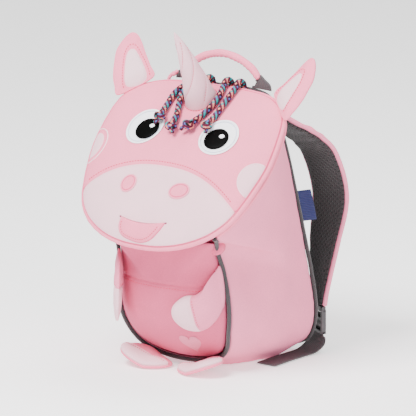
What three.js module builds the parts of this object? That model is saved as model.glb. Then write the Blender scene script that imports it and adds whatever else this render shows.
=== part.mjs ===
// A small child's backpack with a unicorn's face: a padded bag that opens behind a
// big face flap, with ears, a stuffed horn, cord hair, arms, feet and two straps.
// Millimetres. +X is the viewer's right when facing the bag, -Y its front, +Z up,
// and the origin lies in the middle of the flat base.
import * as THREE from 'three';

const vec = (x, y, z) => new THREE.Vector3(x, y, z);

// The bag's body.
const BAG_HEIGHT = 236; // top seam of the back panel above the floor
const BACK_HALF = 74; // half of the back panel's greatest width
const BACK_FOOT_Y = 60; // where the back panel would meet the floor
const BACK_LEAN = 42; // how far its top leans forward
const BACK_PAD = 4.5; // how far its padding reaches into the bag
const BACK_EDGE = 1.6; // its thickness at the seam
const BACK_SWELL = 5; // how far the padding swells out in its middle
const BELLY_HALF = 57; // half of the belly panel's greatest width
const BELLY_TOP = 127; // height of the belly panel's top edge
const BELLY_FRONT = 58; // how far the belly's piping stands in front of the origin
const BELLY_SWELL = 20; // how far the stuffed belly swells out of its piping
const POCKET_TOP = 80; // height of the belly pocket's seam
const CLOTH = 2.2; // padded cloth of the side, belly and chin panels
const SIDE_SWELL = 6; // how far the side panel bulges between its two seams
const BASE_SAG = 5; // how much further it sags at the base, where it lies flat on the floor
const SIDE_DENT = 4; // depth of the hollow under the edge of the face
const PIPING = 1.8; // radius of the grey piping
const GAP = 0.3; // clearance that a seam keeps between two pieces

// The face flap, a padded shell over a plane that leans back from the chin.
const FACE_TILT = 42.8; // degrees between that plane and the vertical
const FACE_TOP_Y = 1.25; // top edge of the face
const FACE_TOP_Z = 242.1;
const FACE_LENGTH = 170.5; // from the top edge down to the chin
const FACE_HALF = 88; // half of its greatest width
const FACE_PAD = 5; // thickness of the padded shell
const FOREHEAD_RISE = 6; // height of the dome over the plane at the top
const MUZZLE_RISE = 17; // and at the muzzle
const CROWN_DROP = 6.2; // how far the top edge bends back
const BINDING = 2; // radius of the bound edge round the face
const MOUTH_DEPTH = 10; // from the face's edge back to the rim of the bag's opening
const RIM = 1.6; // radius of that rim
const CROWN_LIFT = 1.6; // how much nearer to the face the rim comes at the top
const ZIP_THICK = 1.5;

// What is sewn onto the face.
const EYE_U = 38; // eye, from the middle line
const EYE_V = 58; // and from the top edge
const EYE_WIDE = 17.5; // half of its width
const EYE_TALL = 18.5;
const PUPIL = 11; // radius of the pupil
const NOSTRIL_U = 26;
const NOSTRIL_V = 116.5;
const NOSTRIL_WIDE = 9.5;
const NOSTRIL_TALL = 7;
const SPOT_U = 84;
const SPOT_V = 87;
const SPOT = 14; // radius of the cheek spot
const PATCH = 1; // thickness of the sewn-on patches
const TONGUE_WIDE = 22; // half of the tongue's width
const TONGUE_LONG = 16;
const TONGUE_THICK = 3.5;
const MOUTH_V = 147.5; // the mouth's slit
const HORN_U = -3;
const HORN_V = 19;
const HORN_RADIUS = 14;
const HORN_LENGTH = 69;
const EAR_LONG = 47;
const EAR_HALF = 20;
const EAR_THICK = 8;

// Cord, handle, straps, arms and feet.
const HAIR = 2.7; // radius of the braided cord
const KNOT = 4.6; // radius of its knots
const GRIP = 4; // radius of the carry handle
const GRIP_RISE = 30; // its top above the top seam
const GRIP_HALF = 36; // half of the span between its two ends
const WEBBING = 20; // width of the grey webbing
const WEBBING_THICK = 1.6;
const STRAP_HALF = 17; // half of the shoulder strap's greatest width
const STRAP_PAD = 5; // spacer mesh on the wearer's side
const STRAP_COVER = 2.4; // cloth on its outside
const STRAP_REACH = 57; // how far the strap arches away from the back panel
const LOCK_TALL = 22; // the ladder-lock buckle
const LOCK_THICK = 4.6;
const LOCK_TURN = 35; // degrees that the strap's lower end is turned outward
const ARM_THICK = 9;
const ARM_LONG = 66;
const ARM_WIDE = 28;
const FOOT_HALF = 23.5; // half of the foot's width
const FOOT_DEEP = 15.7; // half of its depth
const FOOT_X = 28;
const FOOT_Y = 59.6;
const FOOT_TALL = 9.5;
const LABEL_Z = 134; // middle of the tape label
const LABEL_TALL = 27;
const LABEL_DEEP = 13;

const smooth = (x) => THREE.MathUtils.smoothstep(x, 0, 1);

// A closed mesh from vertices and triangles, turned outward by its own volume.
function closedGeometry(points, faces) {
  let volume = 0;
  const cross = vec();
  for (const [a, b, c] of faces) volume += cross.crossVectors(points[a], points[b]).dot(points[c]);
  const index = faces.flatMap(([a, b, c]) => (volume < 0 ? [a, c, b] : [a, b, c]));
  const geometry = new THREE.BufferGeometry().setFromPoints(points);
  geometry.setIndex(index);
  geometry.computeVertexNormals();
  return geometry;
}

// A padded sheet between two grids of points, closed by walls along its open edges.
// outer and inner take a column (0..columns) and a row (0..rows).
function sheet(outer, inner, columns, rows, ring = false) {
  const points = [];
  const faces = [];
  const width = ring ? columns : columns + 1;
  for (const side of [outer, inner])
    for (let j = 0; j <= rows; j++) for (let i = 0; i < width; i++) points.push(side(i, j));
  const at = (side, i, j) => side * width * (rows + 1) + j * width + (i % width);
  const quad = (a, b, c, d) => faces.push([a, b, c], [a, c, d]);
  for (let j = 0; j < rows; j++)
    for (let i = 0; i < columns; i++) {
      quad(at(0, i, j), at(0, i + 1, j), at(0, i + 1, j + 1), at(0, i, j + 1));
      quad(at(1, i, j), at(1, i, j + 1), at(1, i + 1, j + 1), at(1, i + 1, j));
    }
  for (let i = 0; i < columns; i++) {
    quad(at(0, i + 1, 0), at(0, i, 0), at(1, i, 0), at(1, i + 1, 0));
    quad(at(0, i, rows), at(0, i + 1, rows), at(1, i + 1, rows), at(1, i, rows));
  }
  for (let j = 0; j < rows && !ring; j++) {
    quad(at(0, 0, j), at(0, 0, j + 1), at(1, 0, j + 1), at(1, 0, j));
    quad(at(0, columns, j + 1), at(0, columns, j), at(1, columns, j), at(1, columns, j + 1));
  }
  return closedGeometry(points, faces);
}

// A padded disc inside an outline: outer and inner take a plane point and its share
// of the way out from the centre, 0..1.
function disc(outline, centre, outer, inner, rings) {
  const points = [];
  const faces = [];
  const spokes = outline.length;
  for (const side of [outer, inner]) {
    points.push(side(centre.x, centre.y, 0));
    for (let r = 1; r <= rings; r++) {
      const out = Math.sin((r / rings) * (Math.PI / 2));
      for (const p of outline)
        points.push(side(centre.x + out * (p.x - centre.x), centre.y + out * (p.y - centre.y), out));
    }
  }
  const half = 1 + rings * spokes;
  const at = (side, r, k) => side * half + (r === 0 ? 0 : 1 + (r - 1) * spokes + (k % spokes));
  for (const side of [0, 1])
    for (let k = 0; k < spokes; k++) {
      const turn = (a, b, c) => faces.push(side ? [a, c, b] : [a, b, c]);
      turn(at(side, 0, k), at(side, 1, k), at(side, 1, k + 1));
      for (let r = 1; r < rings; r++) {
        turn(at(side, r, k), at(side, r + 1, k), at(side, r + 1, k + 1));
        turn(at(side, r, k), at(side, r + 1, k + 1), at(side, r, k + 1));
      }
    }
  for (let k = 0; k < spokes; k++) {
    const [a, b, c, d] = [at(0, rings, k), at(1, rings, k), at(1, rings, k + 1), at(0, rings, k + 1)];
    faces.push([a, b, c], [a, c, d]);
  }
  return closedGeometry(points, faces);
}

// A solid through a row of closed sections, with a fan on each end.
function loft(sections, firstCap, lastCap) {
  const count = sections[0].length;
  const points = [...sections.flat(), firstCap, lastCap];
  const faces = [];
  const [first, last] = [points.length - 2, points.length - 1];
  for (let k = 0; k < count; k++) {
    const next = (k + 1) % count;
    for (let s = 0; s + 1 < sections.length; s++) {
      const [a, b] = [s * count, (s + 1) * count];
      faces.push([a + k, a + next, b + next], [a + k, b + next, b + k]);
    }
    const end = (sections.length - 1) * count;
    faces.push([first, next, k], [last, end + k, end + next]);
  }
  return closedGeometry(points, faces);
}

// A round cord or piping along a curve.
function tube(curve, radius, steps, sides = 8) {
  const section = new THREE.Shape(
    Array.from({ length: sides }, (_, k) => {
      const turn = (k / sides) * 2 * Math.PI;
      return new THREE.Vector2(radius * Math.cos(turn), radius * Math.sin(turn));
    }),
  );
  return new THREE.ExtrudeGeometry(section, { steps, bevelEnabled: false, extrudePath: curve });
}

// The same along a closed curve.
const hoop = (curve, radius, steps, sides) => new THREE.TubeGeometry(curve, steps, radius, sides, true);

// A flat band along a curve: across gives its width direction and half width at t,
// and it is thick from low to high on the side that its normal faces.
function band(curve, across, half, low, high, steps, columns = 2) {
  const place = (t, s, lift) => {
    const wide = across(t).clone();
    const along = curve.getTangent(t);
    wide.addScaledVector(along, -wide.dot(along)).normalize();
    const normal = vec().crossVectors(along, wide).normalize();
    return curve.getPoint(t).addScaledVector(wide, s * half(t)).addScaledVector(normal, lift);
  };
  const side = (lift) => (i, j) => place(j / steps, (i / columns) * 2 - 1, lift);
  return sheet(side(high), side(low), columns, steps);
}

const spline = (points, closed = false) =>
  new THREE.CatmullRomCurve3(points, closed, 'catmullrom', 0.5);

// Smooth closed outline through plane points given for the right half, from the
// middle line to the middle line.
function mirrored(rows) {
  const right = rows.map(([x, y]) => vec(x, y, 0));
  const left = rows.slice(1, -1).reverse().map(([x, y]) => vec(-x, y, 0));
  return spline([...right, ...left], true);
}

// Distance from a centre to an outline, as a function of the direction. The second
// value is the outline's third coordinate there.
function reachOf(outline, centre, samples = 240) {
  const table = outline.getPoints(samples).slice(0, samples).map((p) => {
    const [dx, dy] = [p.x - centre.x, p.y - centre.y];
    return [Math.atan2(dy, dx), Math.hypot(dx, dy), p.z];
  });
  table.sort((a, b) => a[0] - b[0]);
  const [low, high] = [table[0], table[table.length - 1]];
  table.unshift([high[0] - 2 * Math.PI, high[1], high[2]]);
  table.push([low[0] + 2 * Math.PI, low[1], low[2]]);
  return (angle, column = 1) => {
    const k = table.findIndex((row) => row[0] > angle);
    const [a, b] = [table[k - 1], table[k]];
    return a[column] + ((b[column] - a[column]) * (angle - a[0])) / (b[0] - a[0]);
  };
}

// The part of an outline on the positive side of a seam. Where the outline crosses
// the seam it is cut exactly, and the cut edge follows the seam through onSeam.
function cut(points, side, onSeam, seamSteps = 8) {
  const count = points.length;
  const crossing = (a, b) => {
    let [low, high] = [a, b];
    for (let step = 0; step < 30; step++) {
      const middle = low.clone().lerp(high, 0.5);
      if (side(middle) > 0 === side(a) > 0) low = middle;
      else high = middle;
    }
    return low;
  };
  const start = points.findIndex((p, k) => side(p) > 0 && side(points[(k + count - 1) % count]) <= 0);
  if (start < 0) return points;
  const entry = crossing(points[(start + count - 1) % count], points[start]);
  const kept = [];
  let k = start;
  while (side(points[k % count]) > 0) kept.push(points[k++ % count]);
  const leave = crossing(points[(k + count - 1) % count], points[k % count]);
  const edge = Array.from({ length: seamSteps + 1 }, (_, i) => onSeam(leave.clone().lerp(entry, i / seamSteps)));
  return [...kept, ...edge];
}

// The outline moved outward by a distance, along its own normals.
function grown(points, distance) {
  return points.map((p, k) => {
    const before = points[(k + points.length - 1) % points.length];
    const after = points[(k + 1) % points.length];
    const along = after.clone().sub(before).setZ(0).normalize();
    return vec(p.x + along.y * distance, p.y - along.x * distance, p.z);
  });
}

const ellipse = (x, y, wide, tall, count, turn = 0) =>
  Array.from({ length: count }, (_, k) => {
    const a = (k / count) * 2 * Math.PI;
    const [p, q] = [wide * Math.cos(a), tall * Math.sin(a)];
    return vec(x + p * Math.cos(turn) - q * Math.sin(turn), y + p * Math.sin(turn) + q * Math.cos(turn), 0);
  });

// The face. u runs to the viewer's right, v down the leaning plane, and the height
// stands out of that plane.
const tilt = THREE.MathUtils.degToRad(FACE_TILT);
const faceDown = vec(0, -Math.sin(tilt), -Math.cos(tilt));
const faceOut = vec(0, -Math.cos(tilt), Math.sin(tilt));
const faceTop = vec(0, FACE_TOP_Y, FACE_TOP_Z);

// Outline of the face: half width as a share of FACE_HALF, distance from the top
// edge as a share of FACE_LENGTH.
const FACE_OUTLINE = [
  [0, 0], [0.4, 0.005], [0.66, 0.03], [0.85, 0.094], [0.955, 0.182], [1, 0.353], [0.989, 0.5],
  [0.88, 0.723], [0.732, 0.853], [0.511, 0.941], [0.261, 0.988], [0, 1],
];
const faceCentre = vec(0, 0.47 * FACE_LENGTH, 0);
const faceCurve = mirrored(FACE_OUTLINE.map(([x, y]) => [x * FACE_HALF, y * FACE_LENGTH]));
const faceReach = reachOf(faceCurve, faceCentre);

function faceShare(u, v) {
  const [du, dv] = [u - faceCentre.x, v - faceCentre.y];
  return Math.hypot(du, dv) / faceReach(Math.atan2(dv, du));
}

const crownBend = (v) => -CROWN_DROP * Math.max(0, 1 - v / (0.235 * FACE_LENGTH)) ** 2;

function faceHeight(u, v) {
  const share = Math.min(faceShare(u, v), 1);
  const rise = FOREHEAD_RISE + (MUZZLE_RISE - FOREHEAD_RISE) * smooth(v / (0.676 * FACE_LENGTH));
  return rise * (1 - share ** 2.4) ** 0.62 + crownBend(v);
}

const onPlane = (u, v, height) =>
  faceTop.clone().addScaledVector(faceDown, v).addScaledVector(faceOut, height).add(vec(u, 0, 0));
const onFace = (u, v, lift = 0) => onPlane(u, v, faceHeight(u, v) + lift);

// The seam between the pink face and the pale muzzle: v at a given u.
const MUZZLE_SEAM_V = 94.5;
const MUZZLE_SEAM_FALL = 27;
const seamV = (u) => MUZZLE_SEAM_V + MUZZLE_SEAM_FALL * (Math.abs(u) / (0.89 * FACE_HALF)) ** 2.3;

// The front seam and the back seam of the body, as stations from the middle of the
// top down the right-hand side to the middle of the base.
// Upper rows: v on the face as a share of FACE_LENGTH, then the back seam's x and z
// as shares of BACK_HALF and BAG_HEIGHT.
const UPPER_ROWS = [
  [0, 0, 1], [0.005, 0.38, 0.999], [0.03, 0.6, 0.985], [0.094, 0.69, 0.945], [0.182, 0.74, 0.88],
  [0.353, 0.81, 0.755], [0.5, 0.86, 0.635], [0.647, 0.9, 0.53], [0.765, 0.93, 0.445],
  [0.84, 0.95, 0.39],
];
// Lower rows: the front seam's x, y and z as shares of BELLY_HALF, BELLY_FRONT and
// BELLY_TOP, then the back seam's x and z as above.
const LOWER_ROWS = [
  [1.01, 1.36, 0.985, 0.965, 0.355], [0.93, 1.2, 0.885, 0.975, 0.312], [0.95, 1.08, 0.75, 0.985, 0.27],
  [0.99, 1.03, 0.59, 0.99, 0.228], [1, 1, 0.43, 0.99, 0.186], [0.95, 0.95, 0.3, 0.97, 0.14],
  [0.84, 0.83, 0.175, 0.92, 0.093], [0.65, 0.74, 0.095, 0.81, 0.047], [0.35, 0.7, 0.052, 0.54, 0.02],
  [0, 0.69, 0.04, 0, 0.013],
];
const backY = (z) => BACK_FOOT_Y - (BACK_LEAN * z) / BAG_HEIGHT;
const widthAt = (v) => {
  const row = FACE_OUTLINE.findIndex(([, y]) => y * FACE_LENGTH >= v);
  if (row < 1) return 0;
  const [[x0, y0], [x1, y1]] = [FACE_OUTLINE[row - 1], FACE_OUTLINE[row]];
  return FACE_HALF * (x0 + ((x1 - x0) * (v / FACE_LENGTH - y0)) / (y1 - y0));
};
const frontStations = [
  ...UPPER_ROWS.map(([v]) => {
    const down = v * FACE_LENGTH;
    const inset = Math.max(0, 1 - 4 * v);
    const depth = MOUTH_DEPTH - CROWN_LIFT * Math.max(0, 1 - 6 * v);
    return onPlane(Math.max(0, widthAt(down) - 1), down + inset, crownBend(down) - depth);
  }),
  ...LOWER_ROWS.map(([x, y, z]) => vec(x * BELLY_HALF, -y * BELLY_FRONT, z * BELLY_TOP)),
];
const backStations = [...UPPER_ROWS.map((r) => r.slice(1)), ...LOWER_ROWS.map((r) => r.slice(3))].map(
  ([x, z]) => vec(x * BACK_HALF, backY(z * BAG_HEIGHT), z * BAG_HEIGHT),
);
const loopOf = (stations) =>
  spline([...stations, ...stations.slice(1, -1).reverse().map((p) => vec(-p.x, p.y, p.z))], true);
const frontSeam = loopOf(frontStations);
const backSeam = loopOf(backStations);
const stationCount = 2 * (frontStations.length - 1);
const cornerShare = UPPER_ROWS.length / stationCount; // where the belly's piping begins

// A point of the side panel: w runs round the bag from the top, q from the front
// seam (0) to the back seam (1).
function sidePoint(w, q) {
  const turn = ((w % 1) + 1) % 1;
  const [front, back] = [frontSeam.getPoint(turn), backSeam.getPoint(turn)];
  const point = front.clone().lerp(back, q);
  const next = (turn + 0.004) % 1;
  const ahead = frontSeam.getPoint(next).lerp(backSeam.getPoint(next), q);
  const outward = vec(-(ahead.z - point.z), 0, ahead.x - point.x).normalize();
  const fromTop = Math.min(turn, 1 - turn) * 2;
  const full = SIDE_SWELL * smooth((fromTop - 0.2) / 0.25) + BASE_SAG * smooth((fromTop - 0.885) / 0.06);
  const swell = full * Math.sin(Math.PI * q);
  const dent = SIDE_DENT * Math.exp(-(((fromTop - 0.56) / 0.09) ** 2) - ((q - 0.22) / 0.16) ** 2);
  point.addScaledVector(outward, swell - dent);
  point.z = Math.max(point.z, 0);
  return point;
}

function sideNormal(w, q) {
  const [dw, dq] = [0.004, 0.02];
  const around = sidePoint(w + dw, q).sub(sidePoint(w - dw, q));
  const along = sidePoint(w, Math.min(q + dq, 1)).sub(sidePoint(w, Math.max(q - dq, 0)));
  return vec().crossVectors(around, along).normalize();
}

function sidePanel() {
  const [columns, rows] = [52, 4];
  const reach = (w, q) => {
    const [front, back] = [frontSeam.getPoint(w), backSeam.getPoint(w)];
    const across = back.clone().sub(front);
    const slant = across.clone().normalize().cross(frontSeam.getTangent(w)).length();
    const [start, end] = [1 / Math.max(slant, 0.4), 1].map((k) => (k * (PIPING + GAP + 0.8)) / across.length());
    return start + q * (1 - start - end);
  };
  const outer = (i, j) => sidePoint(i / columns, reach(i / columns, j / rows));
  const inner = (i, j) => {
    const [w, q] = [i / columns, reach(i / columns, j / rows)];
    return sidePoint(w, q).addScaledVector(sideNormal(w, q), -CLOTH);
  };
  return sheet(outer, inner, columns, rows, true);
}

// The belly, a stuffed panel inside the front piping, as a height over the x-z plane.
const bellyCentre = vec(0, 0.52 * BELLY_TOP, 0);
const bellyEdge = (() => {
  const right = LOWER_ROWS.map(([x, y, z]) => vec(x * BELLY_HALF, z * BELLY_TOP, -y * BELLY_FRONT));
  const top = [0, 0.5].map((x) => vec(x * BELLY_HALF, BELLY_TOP, -1.5 * BELLY_FRONT));
  const half = [...top, ...right];
  const left = half.slice(1, -1).reverse().map((p) => vec(-p.x, p.y, p.z));
  const loop = grown(spline([...half, ...left], true).getPoints(48).slice(0, 48), PIPING + GAP + 1.8);
  const eased = loop.map((p, k) => {
    const [before, after] = [loop[(k + 47) % 48], loop[(k + 1) % 48]];
    return before.clone().add(after).multiplyScalar(0.25).addScaledVector(p, 0.5);
  });
  return spline(eased, true);
})();
const bellyReach = reachOf(bellyEdge, bellyCentre);
const bellyShare = (x, z) => {
  const [dx, dz] = [x - bellyCentre.x, z - bellyCentre.y];
  return Math.hypot(dx, dz) / bellyReach(Math.atan2(dz, dx));
};
function onBelly(x, z, lift = 0) {
  const share = Math.min(bellyShare(x, z), 1);
  const edge = bellyReach(Math.atan2(z - bellyCentre.y, x - bellyCentre.x), 2);
  const base = -1.03 * BELLY_FRONT + (edge + 1.03 * BELLY_FRONT) * share ** 2;
  return vec(x, base - BELLY_SWELL * (1 - share ** 2.2) ** 0.7 - lift, z);
}

const meshes = new THREE.Group();
const MATERIALS = {
  pink_cloth: ['#f2b9cb', 0.85], side_cloth: ['#edbfce', 0.85], belly_cloth: ['#e3a4b8', 0.85],
  pale_cloth: ['#f0dde2', 0.85], grey_piping: ['#7d797a', 0.7], grey_webbing: ['#6f6a6b', 0.75],
  spacer_mesh: ['#4b4345', 0.95], black_cloth: ['#121013', 0.6], white_cloth: ['#f4f3f8', 0.7],
  tongue_cloth: ['#ef9fb6', 0.8], hair_cord: ['#7c5f8d', 0.8], grey_plastic: ['#5f5a5c', 0.5],
  navy_tape: ['#16296b', 0.7], dark_slit: ['#5a3a45', 0.9],
};

function add(name, geometry, material) {
  const [color, roughness] = MATERIALS[material];
  const mesh = new THREE.Mesh(geometry, new THREE.MeshStandardMaterial({ color, roughness, metalness: 0 }));
  mesh.name = name;
  meshes.add(mesh);
}

// A row of pairs: the same piece on the left (-1) and on the right (+1).
const sides = [['left', -1], ['right', 1]];

// The body: side panel all round, back panel, belly and its flat pocket.
function addBody() {
  add('side_panel', sidePanel(), 'side_cloth');

  const backCentre = vec(0, 0.47 * BAG_HEIGHT, 0);
  const loop = backSeam.getPoints(36).slice(0, 36).map((p) => vec(p.x, p.z, 0));
  const outline = grown(loop, CLOTH + 4 * GAP);
  const back = (lift, swell) => (x, z, out) => vec(x, backY(z) + lift + swell * (1 - out ** 2), z);
  add('back_panel', disc(outline, backCentre, back(0, BACK_SWELL), back(-BACK_EDGE, BACK_EDGE - BACK_PAD), 3), 'spacer_mesh');

  // The belly is two cloths that meet in the pocket's seam.
  const bellyOutline = bellyEdge.getPoints(36).slice(0, 36);
  const level = (z) => (p) => vec(p.x, z, 0);
  const front = (x, z) => onBelly(x, z);
  const rear = (x, z) => onBelly(x, z, -CLOTH);
  const upper = cut(bellyOutline, (p) => p.y - POCKET_TOP, level(POCKET_TOP + GAP / 2));
  const pocket = cut(bellyOutline, (p) => POCKET_TOP - p.y, level(POCKET_TOP - GAP / 2));
  add('belly_panel', disc(upper, vec(0, 0.8 * BELLY_TOP, 0), front, rear, 4), 'belly_cloth');
  add('belly_pocket', disc(pocket, vec(0, 0.32 * BELLY_TOP, 0), front, rear, 4), 'belly_cloth');

  const heart = new THREE.Shape();
  heart.moveTo(0, -7);
  heart.bezierCurveTo(-12, 2, -8, 9, 0, 5);
  heart.bezierCurveTo(8, 9, 12, 2, 0, -7);
  const [patchX, patchZ] = [0.36 * BELLY_HALF, 0.2 * BELLY_TOP];
  const heartOutline = heart.getPoints(9).slice(1).map((p) => vec(patchX + p.x, patchZ + p.y, 0));
  add('belly_patch', disc(heartOutline, vec(patchX, patchZ, 0), (x, z) => onBelly(x, z, GAP + 0.8),
    (x, z) => onBelly(x, z, GAP + 0.2), 1), 'pale_cloth');
}

// Grey piping in the front seam of the belly and round the back panel, and the soft
// rim of the opening behind the face.
function addPiping() {
  const part = (curve, from, to, count) =>
    spline(Array.from({ length: count + 1 }, (_, k) => curve.getPoint(from + ((to - from) * k) / count)));
  const corner = cornerShare + 0.1 / stationCount;
  add('front_piping', tube(part(frontSeam, corner, 1 - corner, 30), PIPING, 34, 6), 'grey_piping');
  add('back_piping', hoop(backSeam, PIPING, 42, 6), 'grey_piping');
  const rimEnd = (UPPER_ROWS.length - 1.2) / stationCount;
  const upper = spline(Array.from({ length: 31 }, (_, k) => {
    const w = -rimEnd + (2 * rimEnd * k) / 30;
    return frontSeam.getPoint((w + 1) % 1);
  }));
  add('opening_rim', tube(upper, RIM, 32, 6), 'pink_cloth');
}

// The face: pink upper shell and pale muzzle, its bound edge, the strip of zip tape
// behind it and the cloth that closes the chin from below.
function addFace() {
  const pad = (lift) => (u, v) => onFace(u, v, lift);
  const rim = faceCurve.getPoints(44).slice(0, 44);
  const seam = (offset) => (p) => vec(p.x, seamV(p.x) + offset, 0);
  const upper = cut(rim, (p) => seamV(p.x) - p.y, seam(-GAP / 2), 16);
  const lower = cut(rim, (p) => p.y - seamV(p.x), seam(GAP / 2), 16);
  const upperCentre = vec(0, 0.3 * FACE_LENGTH, 0);
  const muzzleCentre = vec(0, 0.76 * FACE_LENGTH, 0);
  add('face_upper', disc(upper, upperCentre, pad(0), pad(-FACE_PAD), 5), 'pink_cloth');
  add('muzzle', disc(lower, muzzleCentre, pad(0), pad(-FACE_PAD), 5), 'pale_cloth');

  const edge = grown(rim, BINDING + GAP + 0.25).map((p) => onPlane(p.x, p.y, crownBend(p.y) - FACE_PAD / 2));
  add('face_binding', hoop(spline(edge, true), BINDING, 44, 6), 'pink_cloth');

  const inset = 1 + RIM + GAP + ZIP_THICK / 2 + 1.1;
  const count = 30;
  const span = (UPPER_ROWS.length - 1.2) / stationCount;
  const tapeAt = (i, out, height) => {
    const w = -span + (2 * span * i) / count;
    const seam = frontSeam.getPoint((w + 1) % 1);
    const [u, v] = [seam.x, seam.clone().sub(faceTop).dot(faceDown)];
    const away = Math.hypot(u - faceCentre.x, v - faceCentre.y);
    const share = 1 - (inset - 1 - out) / away;
    const [pu, pv] = [u * share, faceCentre.y + (v - faceCentre.y) * share];
    return onPlane(pu, pv, crownBend(Math.max(v, 0)) + height);
  };
  const tape = (out) => (i, j) => tapeAt(i, out, j ? -FACE_PAD - GAP - 0.4 : 0.4 - MOUTH_DEPTH);
  add('zip_tape', sheet(tape(ZIP_THICK / 2), tape(-ZIP_THICK / 2), count, 1), 'grey_webbing');

  const chinTop = 0.865 * FACE_LENGTH;
  const chinCentre = vec(0, 0.92 * FACE_LENGTH, 0);
  const chin = cut(grown(rim, -0.4), (p) => p.y - chinTop, (p) => vec(p.x, chinTop, 0), 4);
  const under = (height) => (u, v) => onPlane(u, v, height);
  add('chin_panel', disc(chin, chinCentre, under(-FACE_PAD - GAP), under(-FACE_PAD - GAP - CLOTH), 1),
    'pale_cloth');
}

// Sewn-on patches that follow the face, each from a lift to a lift over it.
function facePatch(name, outline, centre, low, high, rings, material) {
  add(name, disc(outline, centre, (u, v) => onFace(u, v, high), (u, v) => onFace(u, v, low), rings), material);
}

function addFeatures() {
  for (const [side, s] of sides) {
    const eye = vec(s * EYE_U, EYE_V, 0);
    const pupil = vec(s * EYE_U + 1.9 - 2.4 * s, EYE_V + 2.8, 0);
    facePatch(`eye_white_${side}`, ellipse(eye.x, eye.y, EYE_WIDE, EYE_TALL, 22), eye,
      GAP, GAP + PATCH, 2, 'white_cloth');
    facePatch(`pupil_${side}`, ellipse(pupil.x, pupil.y, PUPIL, PUPIL, 18), pupil,
      2 * GAP + PATCH, 2 * GAP + 2 * PATCH, 1, 'black_cloth');
    const nostril = vec(s * NOSTRIL_U, NOSTRIL_V, 0);
    facePatch(`nostril_${side}`, ellipse(nostril.x, nostril.y, NOSTRIL_WIDE, NOSTRIL_TALL, 16, -0.3 * s),
      nostril, GAP, GAP + PATCH, 1, 'tongue_cloth');
    const spot = vec(s * (SPOT_U - 6), SPOT_V, 0);
    const edgeU = (v) => s * (widthAt(v) - 0.8);
    const round = cut(ellipse(s * SPOT_U, SPOT_V, SPOT, SPOT, 22), (p) => s * (edgeU(p.y) - p.x),
      (p) => vec(edgeU(p.y), p.y, 0), 5);
    facePatch(`cheek_spot_${side}`, round, spot, GAP, GAP + PATCH, 2, 'pale_cloth');
  }

  // The tongue hangs out of the slit of the mouth. Rows: u as a share of
  // TONGUE_WIDE, then the way down as a share of TONGUE_LONG.
  const TONGUE = [
    [-0.97, 0], [-1.04, 0.45], [-0.72, 0.92], [-0.05, 1.02], [0.5, 0.85], [0.78, 0.5], [0.9, 0.03], [0, 0.16],
  ];
  const outline = spline(TONGUE.map(([u, v]) => vec(u * TONGUE_WIDE, MOUTH_V + 2 + v * TONGUE_LONG, 0)), true);
  const centre = vec(-1, MOUTH_V + 2 + 0.55 * TONGUE_LONG, 0);
  add('tongue', disc(outline.getPoints(22).slice(0, 22), centre,
    (u, v, out) => onFace(u, v, GAP + 1 + (TONGUE_THICK - 1) * (1 - out ** 3)),
    (u, v) => onFace(u, v, GAP), 2), 'tongue_cloth');

  const slit = (lift) => (i, j) => {
    const u = TONGUE_WIDE * 1.08 * ((i / 14) * 2 - 1);
    const sag = 3.5 * (1 - (u / (TONGUE_WIDE * 1.08)) ** 2);
    const half = 0.25 + 0.45 * (1 - Math.abs((i / 14) * 2 - 1));
    return onFace(u, MOUTH_V - 1.2 + sag + (j ? half : -half), lift);
  };
  add('mouth_slit', sheet(slit(GAP + 0.6), slit(GAP), 14, 1), 'dark_slit');
}

// The horn: a stuffed cone that leans forward and bends to the viewer's left.
function addHorn() {
  const foot = onFace(HORN_U, HORN_V);
  const share = (x, y, z) => foot.clone().add(vec(x, y, z).multiplyScalar(HORN_LENGTH));
  const axis = new THREE.QuadraticBezierCurve3(foot, share(0.05, -0.25, 0.42), share(-0.13, -0.4, 0.91));
  const corners = Array.from({ length: 12 }, (_, k) => (k / 12) * 2 * Math.PI);
  const base = corners.map((a) => {
    const [u, v] = [HORN_U + HORN_RADIUS * Math.cos(a), HORN_V + HORN_RADIUS * Math.sin(a)];
    return onFace(u, v, GAP + 0.1);
  });
  const ring = (t) => {
    const along = axis.getTangent(t);
    const across = vec(1, 0, 0).addScaledVector(along, -along.x).normalize();
    const down = vec().crossVectors(across, along).normalize();
    const radius = HORN_RADIUS * (1 - t) ** 0.86 * (1 + 0.06 * Math.sin(Math.PI * t)) + 0.9 * t;
    return corners.map((a) =>
      axis.getPoint(t).addScaledVector(across, radius * Math.cos(a)).addScaledVector(down, radius * Math.sin(a)));
  };
  const sections = [base, ...[0.16, 0.3, 0.44, 0.58, 0.72, 0.85, 0.95].map(ring)];
  add('horn', loft(sections, onFace(HORN_U, HORN_V, GAP + 0.2), axis.getPoint(1)), 'pale_cloth');
}

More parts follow.
